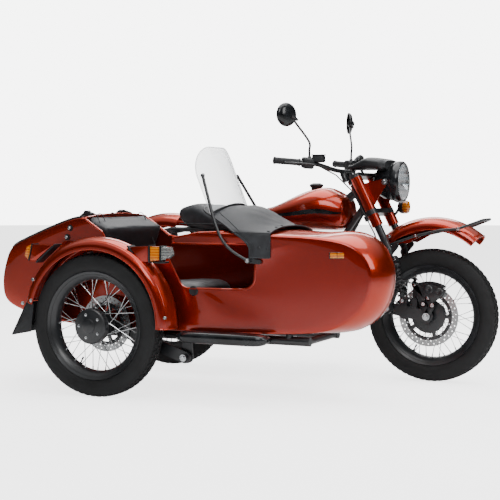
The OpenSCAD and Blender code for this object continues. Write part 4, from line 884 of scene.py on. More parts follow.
def build_apron():
    """Vinyl cover over the cockpit's front, with hem, seam and snap studs."""
    cover = bmesh.new()
    rows = [[apron_point(k / 32, j / 32 - 1) for j in range(65)] for k in range(33)]
    skin(cover, rows, ends=False, make=strand)
    for vert in cover.verts:
        u = (vert.co.x - APRON_X) / APRON_L
        across = abs(vert.co.y - BODY_Y) / (body_half(vert.co.x) + 8)
        vert.co.z += 1.6 * sin(u * 31 + across * 5) * sin(across * 14) * max(0.0, 1 - across)
    width = sum((b - a).length for a, b in zip(rows[16], rows[16][1:]))
    piece = deliver("apron", cover, "black_vinyl", "chassis", ["sidecar_apron"], thickness=4, angle=60)
    # the cut narrows towards both sides, so it fills 0.68 of its rectangle
    width, length = width * MM, APRON_L * 1.06 * MM
    hem, studs = shapes(2)
    bead(hem, [p + Vector((0, 0, -1)) for p in rows[0]], 4.5, closed=False)
    for side in (0, -1):
        bead(hem, [row[side] for row in rows], 3.2, closed=False)
    bead(hem, [p + Vector((2, 0, -1)) for p in rows[-1]], 3.2, closed=False)
    bead(hem, [apron_point(k / 32, -0.7, 0.5) for k in range(33)], 1.6, closed=False)
    bead(hem, [apron_point(k / 32, 0.7, 0.5) for k in range(33)], 1.6, closed=False)
    bead(hem, [apron_point(0.2, j / 32 - 1, 0.6) for j in range(65)], 1.4, closed=False)
    deliver("apron_hem", hem, "black_vinyl", "chassis")
    for u, v, up in ((0.93, 0.62, 1), (0.96, 0.38, 1), (0.96, 0.2, 1), (0.5, 0.88, 0), (0.9, 0.9, 0)):
        for side in (-1, 1):
            away = Vector((0.1, side * (0.2 if up else 1), up))
            lathe(studs, [(0, 0), (7, 0), (7, 1.6), (5, 3.4), (0, 4)], apron_point(u, v * side), away, 20)
    deliver("apron_studs", studs, "black_plastic", "chassis")


def screen_point(y, z):
    """Point of the windscreen's outer face, y across from its middle and z up its slope."""
    lean = radians(22)
    back = sqrt(460 ** 2 - y * y) - 460
    return Vector((750 + back * cos(lean) - z * sin(lean), BODY_Y + y,
                   858 + z * cos(lean) + back * sin(lean)))


def screen_outline():
    """Half width and height round the windscreen's edge."""
    low = [(y, 10.5 - 24 * (y / 205) ** 2) for y in (-205 + 410 * k / 24 for k in range(25))]
    arc = [(radians(a), s) for s, span in ((1, range(0, 91, 10)), (-1, range(90, -1, -10))) for a in span]
    high = [(s * (75 + 130 * cos(a)), 168 + 132 * sin(a)) for a, s in arc]
    return low + high


def build_screen():
    """Curved clear sheet with its bound edge and the rubber strip along its foot."""
    line = screen_outline()
    sheet = bmesh.new()
    rows = skin(sheet, [[screen_point(y * size, 100 + (z - 100) * size) for y, z in line]
                        for size in (1, 0.93, 0.8, 0.6, 0.4, 0.2, 0.05)], ends=False)
    bmesh.ops.contextual_create(sheet, geom=rows[-1])
    bmesh.ops.recalc_face_normals(sheet, faces=sheet.faces)
    deliver("screen", sheet, "clear_screen", "chassis", ["windscreen"], thickness=4, angle=60)
    edge = bmesh.new()
    bead(edge, [screen_point(y, z) for y, z in line], 2.4)
    deliver("screen_edge", edge, "clear_screen", "chassis")
    strip = bmesh.new()
    bead(strip, [screen_point(y, z + 5) + Vector((3, 0, 0)) for y, z in line[:25]], 5, closed=False)
    deliver("screen_foot_rubber", strip, "hose_rubber", "chassis")


def build_stays():
    """Bent rods that brace the windscreen, with clamp discs and foot bolts."""
    rods, feet = shapes(2)
    for side in (-1, 1):
        points = [(x, BODY_Y + side * y, z) for x, y, z in
                  ((657, 181, 1002), (738, 246, 832), (788, 278, 744), (820, 286, 702), (860, 284, 666),
                   (925, 275, 628))]
        rod(rods, points, 6.8, 12, per=8)
        lathe(rods, [(0, -4), (9, -4), (9, 5), (0, 6)], points[0], (0.93, side * 0.35, 0.37), 20)
        lathe(rods, [(0, -10), (12, -10), (12, 4), (9, 6), (0, 6)], (925, BODY_Y + side * 274, 628),
              (0, side, 0), 20)
        slab(rods, link_outline(Vector((925, 628)), Vector((974, 622)), 11, 10), BODY_Y + side * 264,
             BODY_Y + side * 248)
        bolt(feet, (925, BODY_Y + side * 279, 628), (0, side, 0), 7, 6)
        bolt(feet, (658, BODY_Y + side * 182, 1003), (0.93, side * 0.35, 0.37), 5, 4)
    deliver("stays", rods, "frame_black", "chassis", ["windscreen_stays"])
    deliver("stay_bolts", feet, "bright_steel", "chassis", angle=30)

# ---------------------------------------------------------------- fenders


def crown_profile(radius, width, drop, beads=(), steps=28):
    """(radius, y) points across a crowned fender, from skirt to skirt, with raised beads."""
    points = [(radius - drop - 12, -width / 2)]
    for k in range(-steps, steps + 1):
        a = radians(90 * k / steps)
        y = width / 2 * sin(a)
        lift = sum(2.6 * exp(-((abs(y) - b) / 2.6) ** 2) for b in beads)
        points.append((radius - drop + (drop - 0.2) * cos(a) + lift * cos(a) - (2.6 if beads else 0),
                       y * (1 - (0 if abs(k) < steps else 0.001))))
    points.append((radius - drop - 12, width / 2))
    return points


def fender_skin(name, at, profile, start, stop, slot_nodes, body, look="gloss_paint", steps=96):
    """Fender sheet spun about its centre, with rolled edges."""
    sheet = bmesh.new()
    turned(sheet, profile, at, start, stop - start, steps)
    bmesh.ops.recalc_face_normals(sheet, faces=sheet.faces)
    outward = sum((f.normal.dot(f.calc_center_median() - Vector(at)) for f in sheet.faces))
    if outward < 0:
        bmesh.ops.reverse_faces(sheet, faces=sheet.faces)
    row = borders(sheet)[0]
    deliver(name, sheet, look, body, slot_nodes, thickness=2.5, angle=50)
    rolled = bmesh.new()
    bead(rolled, row, 3.0)
    deliver(name + "_rolled_edge", rolled, look, body)


def build_sidecar_fender():
    """Sidecar fender, its body brackets, lamps and mud flap."""
    at = (SIDE_X + 6, SIDE_Y + 4, AXLE_Z + 14)
    fender_skin("side_fender", at, crown_profile(389, 134, 46, (50, 58)), -2, 167, ["sidecar_fender"],
                "chassis")
    arms, bolts = shapes(2)
    for x, z in ((SIDE_X - 110, 640), (SIDE_X + 190, 610)):
        rod(arms, [(x, SIDE_Y + 68, z), (x, BODY_Y - BODY_W / 2, z)], 11, 16)
        lathe(arms, [(0, 0), (20, 0), (20, 4), (13, 6), (0, 6)], (x, BODY_Y - BODY_W / 2, z), (0, -1, 0))
    deliver("side_fender_arms", arms, "frame_black", "chassis")
    # front and rear lamps: painted wedge, gasket and lenses
    shells, gaskets = shapes(2)
    low = SIDE_Y - 40
    slab(shells, rounded([(412, 689, 6), (516, 693, 4), (516, 619, 4), (473, 613, 8)]), low, low + 60)
    slab(shells, rounded([(24, 689, 6), (-98, 689, 4), (-117, 612, 4), (-78, 606, 8)]), low, low + 56)
    deliver("lamp_shells", shells, "gloss_paint", "chassis", ["fender_lamps"], bevel=5, angle=40)
    for outline, name, look in (
            ([(521, 620, 4), (521, 692, 4), (572, 693, 6), (572, 624, 6)], "side_lamp_amber", "amber_lens"),
            ([(575, 625, 5), (575, 693, 5), (616, 695, 10), (628, 648, 10), (602, 629, 8)], "side_lamp_clear",
             "white_lens"),
            ([(-103, 687, 4), (-138, 685, 10), (-153, 628, 10), (-122, 615, 4)], "side_lamp_rear",
             "amber_lens")):
        lens = bmesh.new()
        slab(lens, rounded(outline), low + 2, low + 55)
        deliver(name, lens, look, "chassis", bevel=4)
    for outline in ([(515, 695, 2), (522, 695, 2), (522, 616, 2), (515, 616, 2)],
                    [(572, 694, 2), (576, 694, 2), (576, 623, 2), (572, 623, 2)],
                    [(-97, 691, 2), (-104, 691, 2), (-123, 612, 2), (-117, 610, 2)],
                    [(402, 692, 2), (413, 691, 2), (476, 611, 2), (464, 606, 2)],
                    [(29, 690, 1), (23, 691, 1), (-82, 606, 1), (-78, 602, 1)]):
        slab(gaskets, rounded(outline), low - 1, low + 57)
    block(gaskets, (560, low + 34, 618), (60, 44, 8), None, 2)
    deliver("lamp_gaskets", gaskets, "hose_rubber", "chassis", bevel=1)
    # flap with a wing down each side of the tyre
    flap = bmesh.new()
    slab(flap, rounded([(-120, 424, 3), (-204, 272, 4), (-200, 264, 3), (-192, 266, 3), (-112, 420, 3)]),
         SIDE_Y - 62, SIDE_Y + 70)
    for y in (SIDE_Y - 62, SIDE_Y + 66):
        slab(flap, rounded([(-118, 425, 4), (-203, 270, 8), (-192, 262, 10), (-80, 272, 16), (-74, 420, 6)]),
             y, y + 4)
    deliver("mud_flap", flap, "hose_rubber", "chassis", ["mudflap"], bevel=2)
    for x, z in ((-138, 416), (-92, 430)):
        bolt(bolts, (x, SIDE_Y - 62, z), (0, -1, 0), 6, 5)
    for a in (6, 150):
        bolt(bolts, (at[0] + 372 * cos(radians(a)), at[1] - 58, at[2] + 372 * sin(radians(a))),
             (0.3, -1, 0.3), 6, 5)
    deliver("side_fender_bolts", bolts, "bright_steel", "chassis", angle=30)


def build_front_fender():
    """Front fender with its side flaps, rail bolts and rolled edges."""
    at = (WHEELBASE + 8, 0, 430)
    fender_skin("fore_fender", at, crown_profile(379, 164, 52, (60, 68, 75)), 50, 131, ["front_fender"],
                "fork")
    flaps, bolts = shapes(2)
    wb = WHEELBASE
    for side in (-1, 1):
        outline = rounded([(wb - 233, 692, 12), (wb - 190, 640, 26), (wb - 100, 676, 60), (wb + 40, 736, 12),
                           (wb + 40, 760, 6), (wb - 120, 734, 60)], 8)
        slab(flaps, outline, side * 79.5, side * 81.8)
        rail = (wb - 60, side * 89, 716), (wb + 150, side * 89, 752)
        for x, y, z in rail:
            bolt(bolts, (x, y + side * 5, z), (0, side, 0), 7, 6)
        bolt(bolts, (wb - 176, side * 141, 712), (0, side, 0), 7, 6)
    deliver("fore_fender_flaps", flaps, "gloss_paint", "fork", bevel=0.8)
    deliver("fore_fender_bolts", bolts, "bright_steel", "fork", angle=30)


def build_rear_fender():
    """Rear fender with its lamps."""
    fender_skin("hind_fender", (0, 0, 400), crown_profile(419, 176, 60, (66, 74)), 78, 178, ["rear_fender"],
                "chassis")
    body, lens, ring_trim = shapes(3)
    lathe(body, [(0, 0), (38, 0), (42, 6), (43, 60), (40, 66), (0, 66)], (-300, 0, 682), (-1, 0, 0), 40)
    lathe(lens, [(0, 66), (39, 66), (41, 70), (38, 92), (26, 104), (0, 109)], (-270, 0, 682), (-1, 0, 0), 40)
    for side in (-1, 1):
        rod(body, [(-340, side * 78, 600), (-340, side * 176, 600)], 7, 14)
        lathe(body, [(0, 0), (20, 0), (30, 8), (33, 24), (33, 30), (0, 30)], (-312, side * 200, 600),
              (-1, 0, 0), 32)
        lathe(ring_trim, [(0, 30), (31, 30), (32, 34), (28, 46), (16, 51), (0, 52)], (-311, side * 200, 600),
              (-1, 0, 0), 32)
    deliver("tail_lamp_bodies", body, "black_plastic", "chassis", ["rear_lamps"])
    deliver("tail_lamp_lens", lens, "red_lens", "chassis")
    deliver("tail_indicator_lenses", ring_trim, "amber_lens", "chassis")

# ---------------------------------------------------------------- tank and seat


TANK_FRONT, TANK_L, TANK_TOP, TANK_H = 1047.5, 480, 954, 216


def tank_point(t, angle, lift=0.0):
    """Point of the tank's skin: t runs forward, the angle goes round from +Y."""
    half = 150 * sin(radians(17 + 138 * t ** 0.86)) ** 0.6
    ridge = TANK_TOP - TANK_H * (0.5 * (1 - ramp(t * 1.25)) ** 1.35 + 0.30 * ramp((t - 0.6) * 2.2) ** 1.6)
    base = TANK_TOP - TANK_H - 4 + 46 * (1 - ramp(t * 1.7)) ** 1.5 + 30 * ramp((t - 0.84) * 5)
    end = min(1.0, (min(t, 1 - t) * 22) ** 0.42 * 0.86 + 0.12)
    mid = lerp(base, ridge, 0.42)
    c, s = cos(angle), sin(angle)
    tall = (ridge - mid if s > 0 else mid - base) * end
    return Vector((TANK_FRONT - TANK_L + TANK_L * t, (half * end + lift) * signed_power(c, 0.72),
                   mid + (tall + lift) * signed_power(s, 0.8)))


def build_tank():
    """Fuel tank with its painted side band and cap."""
    tank = bmesh.new()
    loops = [[tank_point(0.5 - 0.5 * cos(pi * k / 40), tau * i / 72) for i in range(72)]
             for k in range(1, 40)]
    skin(tank, loops)
    deliver("tank", tank, "gloss_paint", "chassis", ["fuel_tank"], angle=60)
    band = bmesh.new()
    for side in (0, pi):
        rows = []
        for k in range(33):
            t = lerp(0.1, 0.97, k / 32)
            tilt = lerp(-0.02, 0.06, k / 32) + 0.10 * (1 - k / 32) ** 3
            wide = 0.048 * (1 - abs(2 * k / 32 - 1) ** 4) + 0.01
            span = [tilt - wide, tilt, tilt + wide]
            if side:
                span = [pi - a for a in span]
            rows.append([tank_point(t, a, 0.6) for a in span])
        skin(band, rows, ends=False, make=strand)
    deliver("tank_band", band, "mirror_black", "chassis")
    cap = bmesh.new()
    x = TANK_FRONT - 202
    z = max(tank_point((x - TANK_FRONT + TANK_L) / TANK_L, pi / 2).z, 940)
    lathe(cap, [(0, -4), (26, -4), (28, 8), (33, 12), (35, 15), (35, 21), (31, 26), (20, 28), (0, 28.5)],
          (x, 0, z), (0, 0, 1), 48)
    block(cap, (x, 0, z + 28), (44, 10, 5), None, 2)
    deliver("tank_cap", cap, "black_plastic", "chassis", ["fuel_cap"])


def build_rider_seat():
    """Rider's saddle: swollen vinyl pad and piping."""
    seat = bmesh.new()
    loops = []
    for k in range(1, 32):
        t = 0.5 - 0.5 * cos(pi * k / 32)
        e = sqrt(sin(radians(180 * t)) if 0 < t < 1 else 0) ** 0.5
        low = 722 + 42 * (1 - ramp(t * 5))
        top = 796 + 75 * (1 - ramp((t - 0.2) * 2.2)) + 12 * ramp((t - 0.7) * 3)
        w = 139 * lerp(1, 0.66, ramp((t - 0.35) * 1.6))
        mid = (top + low) / 2
        loops.append([(76 + 485 * t, w * e * signed_power(cos(a), 0.5),
                       mid + (top - low) / 2 * e * signed_power(sin(a), 0.55))
                      for a in (tau * i / 48 for i in range(48))])
    skin(seat, loops)
    plumped("saddle", seat, "black_vinyl", "chassis", ["rider_seat"], 6)
    piping = bmesh.new()
    line = []
    for k in range(64):
        a = tau * k / 64
        t = 0.5 + 0.49 * cos(a)
        w = 143 * lerp(1, 0.66, ramp((t - 0.35) * 1.6)) * abs(sin(a)) ** 0.45
        line.append((80 + 478 * t, copysign(w, sin(a)), 762))
    bead(piping, line, 3)
    deliver("saddle_piping", piping, "hose_rubber", "chassis")

# ---------------------------------------------------------------- wheels


# radius of the tyres' beads, reach of the sidecar's hub cap from the middle of its wheel
BEAD_R, SIDE_REACH = 229, 84


def build_tyre(name, at, body, node, pitches):
    """Tyre casing and its tread: rows of blocks, the outer ones leaning over the shoulders."""
    side = [(16, 39.4), (20, 43.6), (26, 47), (34, 51), (44, 52.6), (56, 52.8), (66, 51.2), (76, 48),
            (82, 44.5)]
    crown = [(86, 42), (88.5, 36), (90.5, 26), (91.6, 14), (92, 0)]
    profile = [(BEAD_R + r, y) for r, y in [(2, 38.6)] + side + crown]
    profile = [(BEAD_R + 2, 30)] + profile + mirrored(profile[:-1]) + [(BEAD_R + 2, -30)]
    casing = bmesh.new()
    turned(casing, profile + [profile[0]], at, steps=128)
    deliver(name, casing, "tyre", body, [node], angle=40)
    blocks = bmesh.new()
    step = tau * TYRE_R / pitches
    top = TYRE_R - 0.4
    for y, wide, long, shift, lean in ((0, 17, 0.66, 0, 0), (22, 15, 0.62, 0.5, 14),
                                       (-22, 15, 0.62, 0.5, -14),
                                       (41, 12, 0.6, 0, 52), (-41, 12, 0.6, 0, -52)):
        drop = {0: 0, 22: 1.6, 41: 11.5}[abs(y)]
        turn = Matrix.Translation(at) @ Matrix.Rotation(tau / pitches * shift, 4, "Y")
        turn = turn @ Matrix.Translation((0, y, top - 3.6 - drop)) @ Matrix.Rotation(radians(-lean), 4, "X")
        block(blocks, (0, 0, 0), (step * long, wide, 7), turn, 0.8, 1)
    # one pitch of blocks, repeated round the tyre
    bmesh.ops.spin(blocks, geom=list(blocks.verts) + list(blocks.edges) + list(blocks.faces), cent=at,
                   axis=(0, 1, 0), angle=tau * (pitches - 1) / pitches, steps=pitches - 1,
                   use_duplicate=True, use_merge=False)
    deliver(name + "_tread", blocks, "tyre", body, angle=30)


def build_rim(name, at, body, node):
    """Drop-centre rim with rolled flanges and a valve."""
    rim = bmesh.new()
    half = [(245, 40), (246.5, 43), (244, 45.8), (241, 44), (236, 40.6), (228, 36.5), (220, 30), (214, 24),
            (209, 17), (206.5, 9), (206, 0)]
    inner = [(210, 0), (210.5, 9), (213, 15), (222, 24), (229, 33), (231, 38.5), (240, 39.2)]
    outline = half + mirrored(half[:-1]) + mirrored(inner) + inner[1:]
    turned(rim, outline + [outline[0]], at, steps=128)
    deliver(name, rim, "frame_black", body, [node], angle=40)
    valve = bmesh.new()
    a = radians(-118)
    foot = Vector(at) + Vector((206 * cos(a), 0, 206 * sin(a)))
    aim = (Vector(at) - foot).normalized()
    lathe(valve, [(0, 0), (5, 0), (5, 6), (3.2, 8), (3.2, 24), (4.4, 25), (4.4, 34), (3, 36), (0, 36)], foot,
          aim, 16)
    deliver(name + "_valve", valve, "black_plastic", body)


def build_spokes(name, at, body, count):
    """Crossed spokes with their nipples at the rim and bent heads at the hub."""
    wires = bmesh.new()
    for k in range(count):
        side = 1 if k % 2 else -1
        pair = 1 if (k // 2) % 2 else -1
        a = tau * k / count
        b = a + radians(54) * pair
        hub = Vector(at) + Vector((55 * cos(a), side * (31 + 1.5 * pair), 55 * sin(a)))
        rim = Vector(at) + Vector((208.5 * cos(b), side * 7, 208.5 * sin(b)))
        rod(wires, [hub, rim], 1.75, 6)
        aim = (hub - rim).normalized()
        lathe(wires, [(0, -2), (3.4, -2), (3.4, 2), (2.9, 4), (2.7, 17), (0, 17)], rim, aim, 8)
        lathe(wires, [(0, -2), (3.6, -2), (3.6, 1), (0, 2)], hub, (0, -side, 0), 8)
    deliver(name, wires, "spoke_steel", body, angle=40)


def build_hub(name, at, body, cap):
    """Cast hub with its spoke flanges; the sidecar's has a bolted cap."""
    hub = bmesh.new()
    half = [(60, 24.5), (61, 27), (61, 31), (60, 33.5), (50, 34.5), (46, 38), (45, 62), (43, 64.5),
            (12, 64.5)]
    mirror = [(60, 24.5), (50, 23), (40, 19), (36, 14), (35, 0)]
    turned(hub, [(r, y) for r, y in reversed(half)] + mirror[1:], at, steps=64)
    turned(hub, [(r, -y) for r, y in reversed(half)] + [(r, -y) for r, y in mirror[1:]], at, steps=64)
    bmesh.ops.recalc_face_normals(hub, faces=hub.faces)
    deliver(name, hub, "frame_black", body, angle=40)
    if cap:
        shell, bolts = shapes(2)
        # the cap's boss stands clear of the wheel's near side
        profile = [(0, -SIDE_REACH), (27, -SIDE_REACH), (31, -SIDE_REACH + 2), (32, -SIDE_REACH + 6),
                   (36, -SIDE_REACH + 8), (66, -SIDE_REACH + 9), (75, -SIDE_REACH + 11),
                   (80, -SIDE_REACH + 17), (80, -36), (62, -33)]
        turned(shell, profile, at, steps=72)
        deliver(name + "_cap", shell, "frame_black", body, angle=35)
        for k in range(5):
            a = radians(36 + 72 * k)
            bolt(bolts, (at[0] + 54 * cos(a), at[1] - SIDE_REACH + 9, at[2] + 54 * sin(a)), (0, -1, 0), 4.5,
                 3)
        deliver(name + "_cap_bolts", bolts, "bright_steel", body, angle=30)


def build_disc_carrier(name, at, body, radius):
    """Black five-armed carrier riveted to the brake disc, wider on the motorcycle's wheels."""
    arms, rivets = shapes(2)
    outline = [(radius - 46, -3.3), (radius - 46, 3.3), (radius - 30, 3.3), (radius - 30, -3.3),
               (radius - 46, -3.3)]
    turned(arms, outline, at, steps=72)
    plate = 46 if radius < 140 else 84
    inner = [(plate, -3.6), (plate, 3.6), (16, 3.6), (16, -3.6), (plate, -3.6)]
    turned(arms, inner, at, steps=48)
    for k in range(5):
        a = radians(72 * k)
        turn = Matrix.Rotation(-a, 4, "Y")
        middle = Vector(at) + Vector((cos(a), 0, sin(a))) * (radius / 2 - 2)
        block(arms, middle, (radius - 66, 6.8, 19), turn, 1.5)
    for k in range(10):
        a = radians(36 * k + 18)
        for side in (-1, 1):
            lathe(rivets, [(0, 0), (5, 0), (4.4, 1.6), (0, 2)],
                  Vector(at) + Vector(((radius - 38) * cos(a), side * 3.3, (radius - 38) * sin(a))),
                  (0, side, 0), 12)
    deliver(name, arms, "frame_black", body, bevel=0.6)
    deliver(name + "_rivets", rivets, "bright_steel", body)

# ---------------------------------------------------------------- fork and front


def coil(bm, foot, top, radius, wire, turns):
    """Helical spring between two points."""
    axis = Vector(top) - Vector(foot)
    turn = axis.to_track_quat("Z", "Y")
    steps = turns * 18
    points = []
    for k in range(steps + 1):
        a = tau * turns * k / steps
        round_it = turn @ Vector((radius * cos(a), radius * sin(a), 0))
        points.append(Vector(foot) + axis * (k / steps) + round_it)
    rod(bm, points, wire, 8, smooth=False)


def build_spring_unit(bm, foot, top, radius, turns, eye=11):
    """Damper with spring, seats and rubber-bushed eyes."""
    foot, top = Vector(foot), Vector(top)
    aim = (top - foot).normalized()
    length = (top - foot).length
    lathe(bm, [(0, 0), (radius * 0.42, 4), (radius * 0.42, length * 0.5), (radius * 0.3, length * 0.5 + 2),
               (radius * 0.3, length - 4), (0, length)], foot, aim, 20)
    lathe(bm, [(radius * 0.4, 22), (radius * 0.96, 22), (radius, 25), (radius, 30), (radius * 0.4, 31)], foot,
          aim, 28)
    lathe(bm, [(radius * 0.3, length - 40), (radius, length - 38), (radius, length - 26),
               (radius * 0.8, length - 22), (radius * 0.3, length - 20)], foot, aim, 28)
    coil(bm, foot + aim * 33, top - aim * 42, radius * 0.8, radius * 0.13, turns)
    for point in (foot, top):
        lathe(bm, [(7, -eye), (14, -eye), (15, -eye + 2), (15, eye - 2), (14, eye), (7, eye)], point,
              (0, 1, 0), 24)


def build_fork():
    """Springs, painted sleeves and link bolts of the fork."""
    springs, covers, bolts = shapes(3)
    wb = WHEELBASE
    for side in (-1, 1):
        build_spring_unit(springs, (wb - 116, side * 121, 400), (wb - 153, side * 121, 603), 18.5, 8, 10)
        foot = steer_point(58, side * 122, 820)
        aim = steer_point(0, 0, 1) - steer_point(0, 0, 0)
        lathe(covers, [(19.5, 0), (25, 0), (27.5, 3), (27.5, 56), (24, 59.5), (19.5, 59.5)], foot, aim, 40)
        lathe(covers, [(19.5, 85.5), (24, 85.5), (27.5, 89), (27.5, 258), (24, 261), (19.5, 261)], foot, aim,
              40)
        bolt(bolts, (wb - 192, side * 141, 360), (0, side, 0), 12, 10)
        bolt(bolts, (wb - 153, side * 128, 603), (0, side, 0), 8, 7)
        bolt(bolts, (wb - 116, side * 131, 400), (0, side, 0), 8, 7)
        bolt(bolts, (wb, side * 111, 326), (0, side, 0), 13, 12)
    deliver("fork_springs", springs, "frame_black", "fork", ["front_shocks"])
    deliver("fork_sleeves", covers, "gloss_paint", "fork")
    deliver("fork_bolts", bolts, "bright_steel", "fork", angle=30)


def build_headlamp():
    """Headlamp bucket, rim, reflector, fluted glass and ear bolts."""
    face = Vector((STEER_X - 218, 0, 978))
    ahead = (1, 0, 0)
    bucket, trim, bowl, glass = shapes(4)
    lathe(bucket, [(0, -150), (36, -147), (66, -126), (86, -88), (92, -58), (93, -46), (97, -42), (100, -30)],
          face, ahead, 64)
    lathe(trim, [(96, -40), (101, -34), (102.5, -16), (101, -3), (97, 2), (92, 3), (90, 0), (92, -6),
                 (94, -30), (96, -40)], face, ahead, 64)
    lathe(bowl, [(12, -60), (40, -52), (70, -30), (91, -4), (90, -6), (69, -34), (38, -58), (12, -66),
                 (12, -60)], face, ahead, 48)
    lathe(glass, [(0, 12), (40, 11), (68, 8), (86, 3), (91, -1), (91, -4), (85, -1), (66, 4), (40, 7),
                  (0, 8)], face, ahead, 64)
    deliver("lamp_bucket", bucket, "mirror_black", "fork", ["headlamp"])
    deliver("lamp_trim", trim, "mirror_black", "fork")
    deliver("lamp_reflector", bowl, "mirror_glass", "fork")
    deliver("lamp_glass", glass, "head_glass", "fork")
    ears = bmesh.new()
    for side in (-1, 1):
        bolt(ears, (face.x - 64, side * 101, 978), (0, side, 0), 11, 9)
    deliver("lamp_bolts", ears, "bright_steel", "fork", angle=30)


def build_cowl():
    """Cowl over the dial, the dial and the posts that hold it."""
    cowl = bmesh.new()
    loops = []
    lamp_x = STEER_X - 276
    for k in range(25):
        t = k / 24
        x = lamp_x - 198 + 196 * t
        top = lerp(1062, 1100, ramp(t * 2)) - 10 * ramp(t * 2 - 1)
        low = lerp(1036, 1018, ramp(t)) + 12 * ramp(t * 1.4)
        w = lerp(96, 124, ramp(t * 1.6)) - 18 * ramp((t - 0.86) * 7)
        mid, tall = (top + low) / 2, (top - low) / 2 * (1 - 0.25 * ramp((t - 0.88) * 8))
        loops.append([(x, w * signed_power(cos(a), 0.62), mid + tall * signed_power(sin(a), 0.62))
                      for a in (tau * i / 56 for i in range(56))])
    skin(cowl, loops)
    deliver("cowl", cowl, "black_plastic", "fork", ["instrument_cowl"], angle=50)
    dial, marks = shapes(2)
    place = Vector((lamp_x - 180, 0, 1066))
    aim = (-0.82, 0, 0.57)
    lathe(dial, [(0, 0), (46, 0), (48, 4), (48, 16), (44, 20), (41, 16), (0, 15)], place, aim, 48)
    deliver("dial", dial, "mirror_black", "fork")
    lathe(marks, [(0, 15.5), (38, 15.5), (38, 16.5), (0, 16.5)], place, aim, 40)
    deliver("dial_face", marks, "white_lens", "fork")
    legs = bmesh.new()
    for side in (-1, 1):
        rod(legs, [steer_point(40, side * 62, 1101), steer_point(40, side * 62, 1146)], 7, 14)
    deliver("cowl_posts", legs, "frame_black", "fork")


def bar_points():
    """Clamp, bend, inner and outer ends of the handlebar's left half."""
    clamp = steer_point(-21, 0, 1156)
    return (clamp, Vector((clamp.x, 112, clamp.z + 4)), Vector((clamp.x - 58, 270, 1066)),
            Vector((clamp.x - 210, 400, 1080)))


def grip_point(t):
    """A point between the bar's inner bend and its end."""
    _, _, inner, end = bar_points()
    return inner.lerp(end, t)


def flipped(point, side):
    """A left-hand point, or its mirror image for side -1."""
    return Vector((point[0], point[1] * side, point[2]))


def build_handlebar():
    """Bar, risers, grips, pods, levers and the brake reservoir."""
    _, bend, inner, end = bar_points()
    bar, grips, pods, levers, tank = shapes(5)
    half = [end, grip_point(0.5), inner, bend]
    line = half + [flipped(p, -1) for p in reversed(half)]
    rod(bar, line, 11, 20, per=8)
    for side in (-1, 1):
        foot = steer_point(-21, side * 42, 1100.5)
        lathe(bar, [(0, 0), (17, 0), (17, 40), (14, 50), (14, 62), (0, 62)], foot,
              steer_point(0, 0, 1) - steer_point(0, 0, 0), 24)
        grip = [flipped(grip_point(t), side) for t in (0.36, 1.03)]
        aim = grip[1] - grip[0]
        ribs = [(11.5, 0), (18, 0), (19.5, 3), (18, 7)]
        for k in range(12):
            s = 9 + k * (aim.length - 22) / 12
            ribs += [(16, s), (16.8, s + 2), (16.8, s + 5), (15.8, s + 7)]
        ribs += [(18, aim.length - 8), (19, aim.length - 4), (15, aim.length), (0, aim.length)]
        lathe(grips, ribs, grip[0], aim, 24)
        pod = [flipped(grip_point(t), side) for t in (0.02, 0.31)]
        turn = Vector((0, 1, 0)).rotation_difference((pod[1] - pod[0]).normalized()).to_matrix().to_4x4()
        block(pods, (pod[0] + pod[1]) / 2, (52, (pod[1] - pod[0]).length, 54), turn, 12, 4)
        block(pods, pod[0].lerp(pod[1], 0.5) + Vector((-24, 0, 6)), (8, 14, 10), turn, 2)
        root = flipped(grip_point(0.06), side)
        rod(pods, [root, root + Vector((30, 0, -4))], 12, 16)
        run = [root + Vector((26, 0, -4)), flipped(grip_point(0.3), side) + Vector((62, 0, -10)),
               flipped(grip_point(0.7), side) + Vector((62, 0, -10)),
               flipped(grip_point(1.0), side) + Vector((57, 0, -12))]
        rod(levers, run, 5.2, 12, per=8)
        bmesh.ops.create_uvsphere(levers, u_segments=12, v_segments=8, radius=7,
                                  matrix=Matrix.Translation(run[-1]))
        bolt(tank, root + Vector((28, 0, 9)), (0, 0, 1), 5, 4)
    place = flipped(grip_point(0), -1) + Vector((26, -6, 22))
    block(pods, place, (58, 44, 34), None, 7, 3)
    block(pods, place + Vector((0, 0, 19)), (60, 46, 5), None, 2)
    for x, y in ((-24, -17), (24, -17), (-24, 17), (24, 17)):
        lathe(tank, [(0, 0), (3.4, 0), (3, 1.4), (0, 1.8)], place + Vector((x, y, 21)), (0, 0, 1), 12)
    deliver("bar", bar, "frame_black", "fork", ["handlebar"])
    deliver("grips", grips, "hose_rubber", "fork", ["hand_controls"], angle=60)
    deliver("pods", pods, "black_plastic", "fork")
    deliver("levers", levers, "frame_black", "fork")
    deliver("control_screws", tank, "bright_steel", "fork", angle=30)


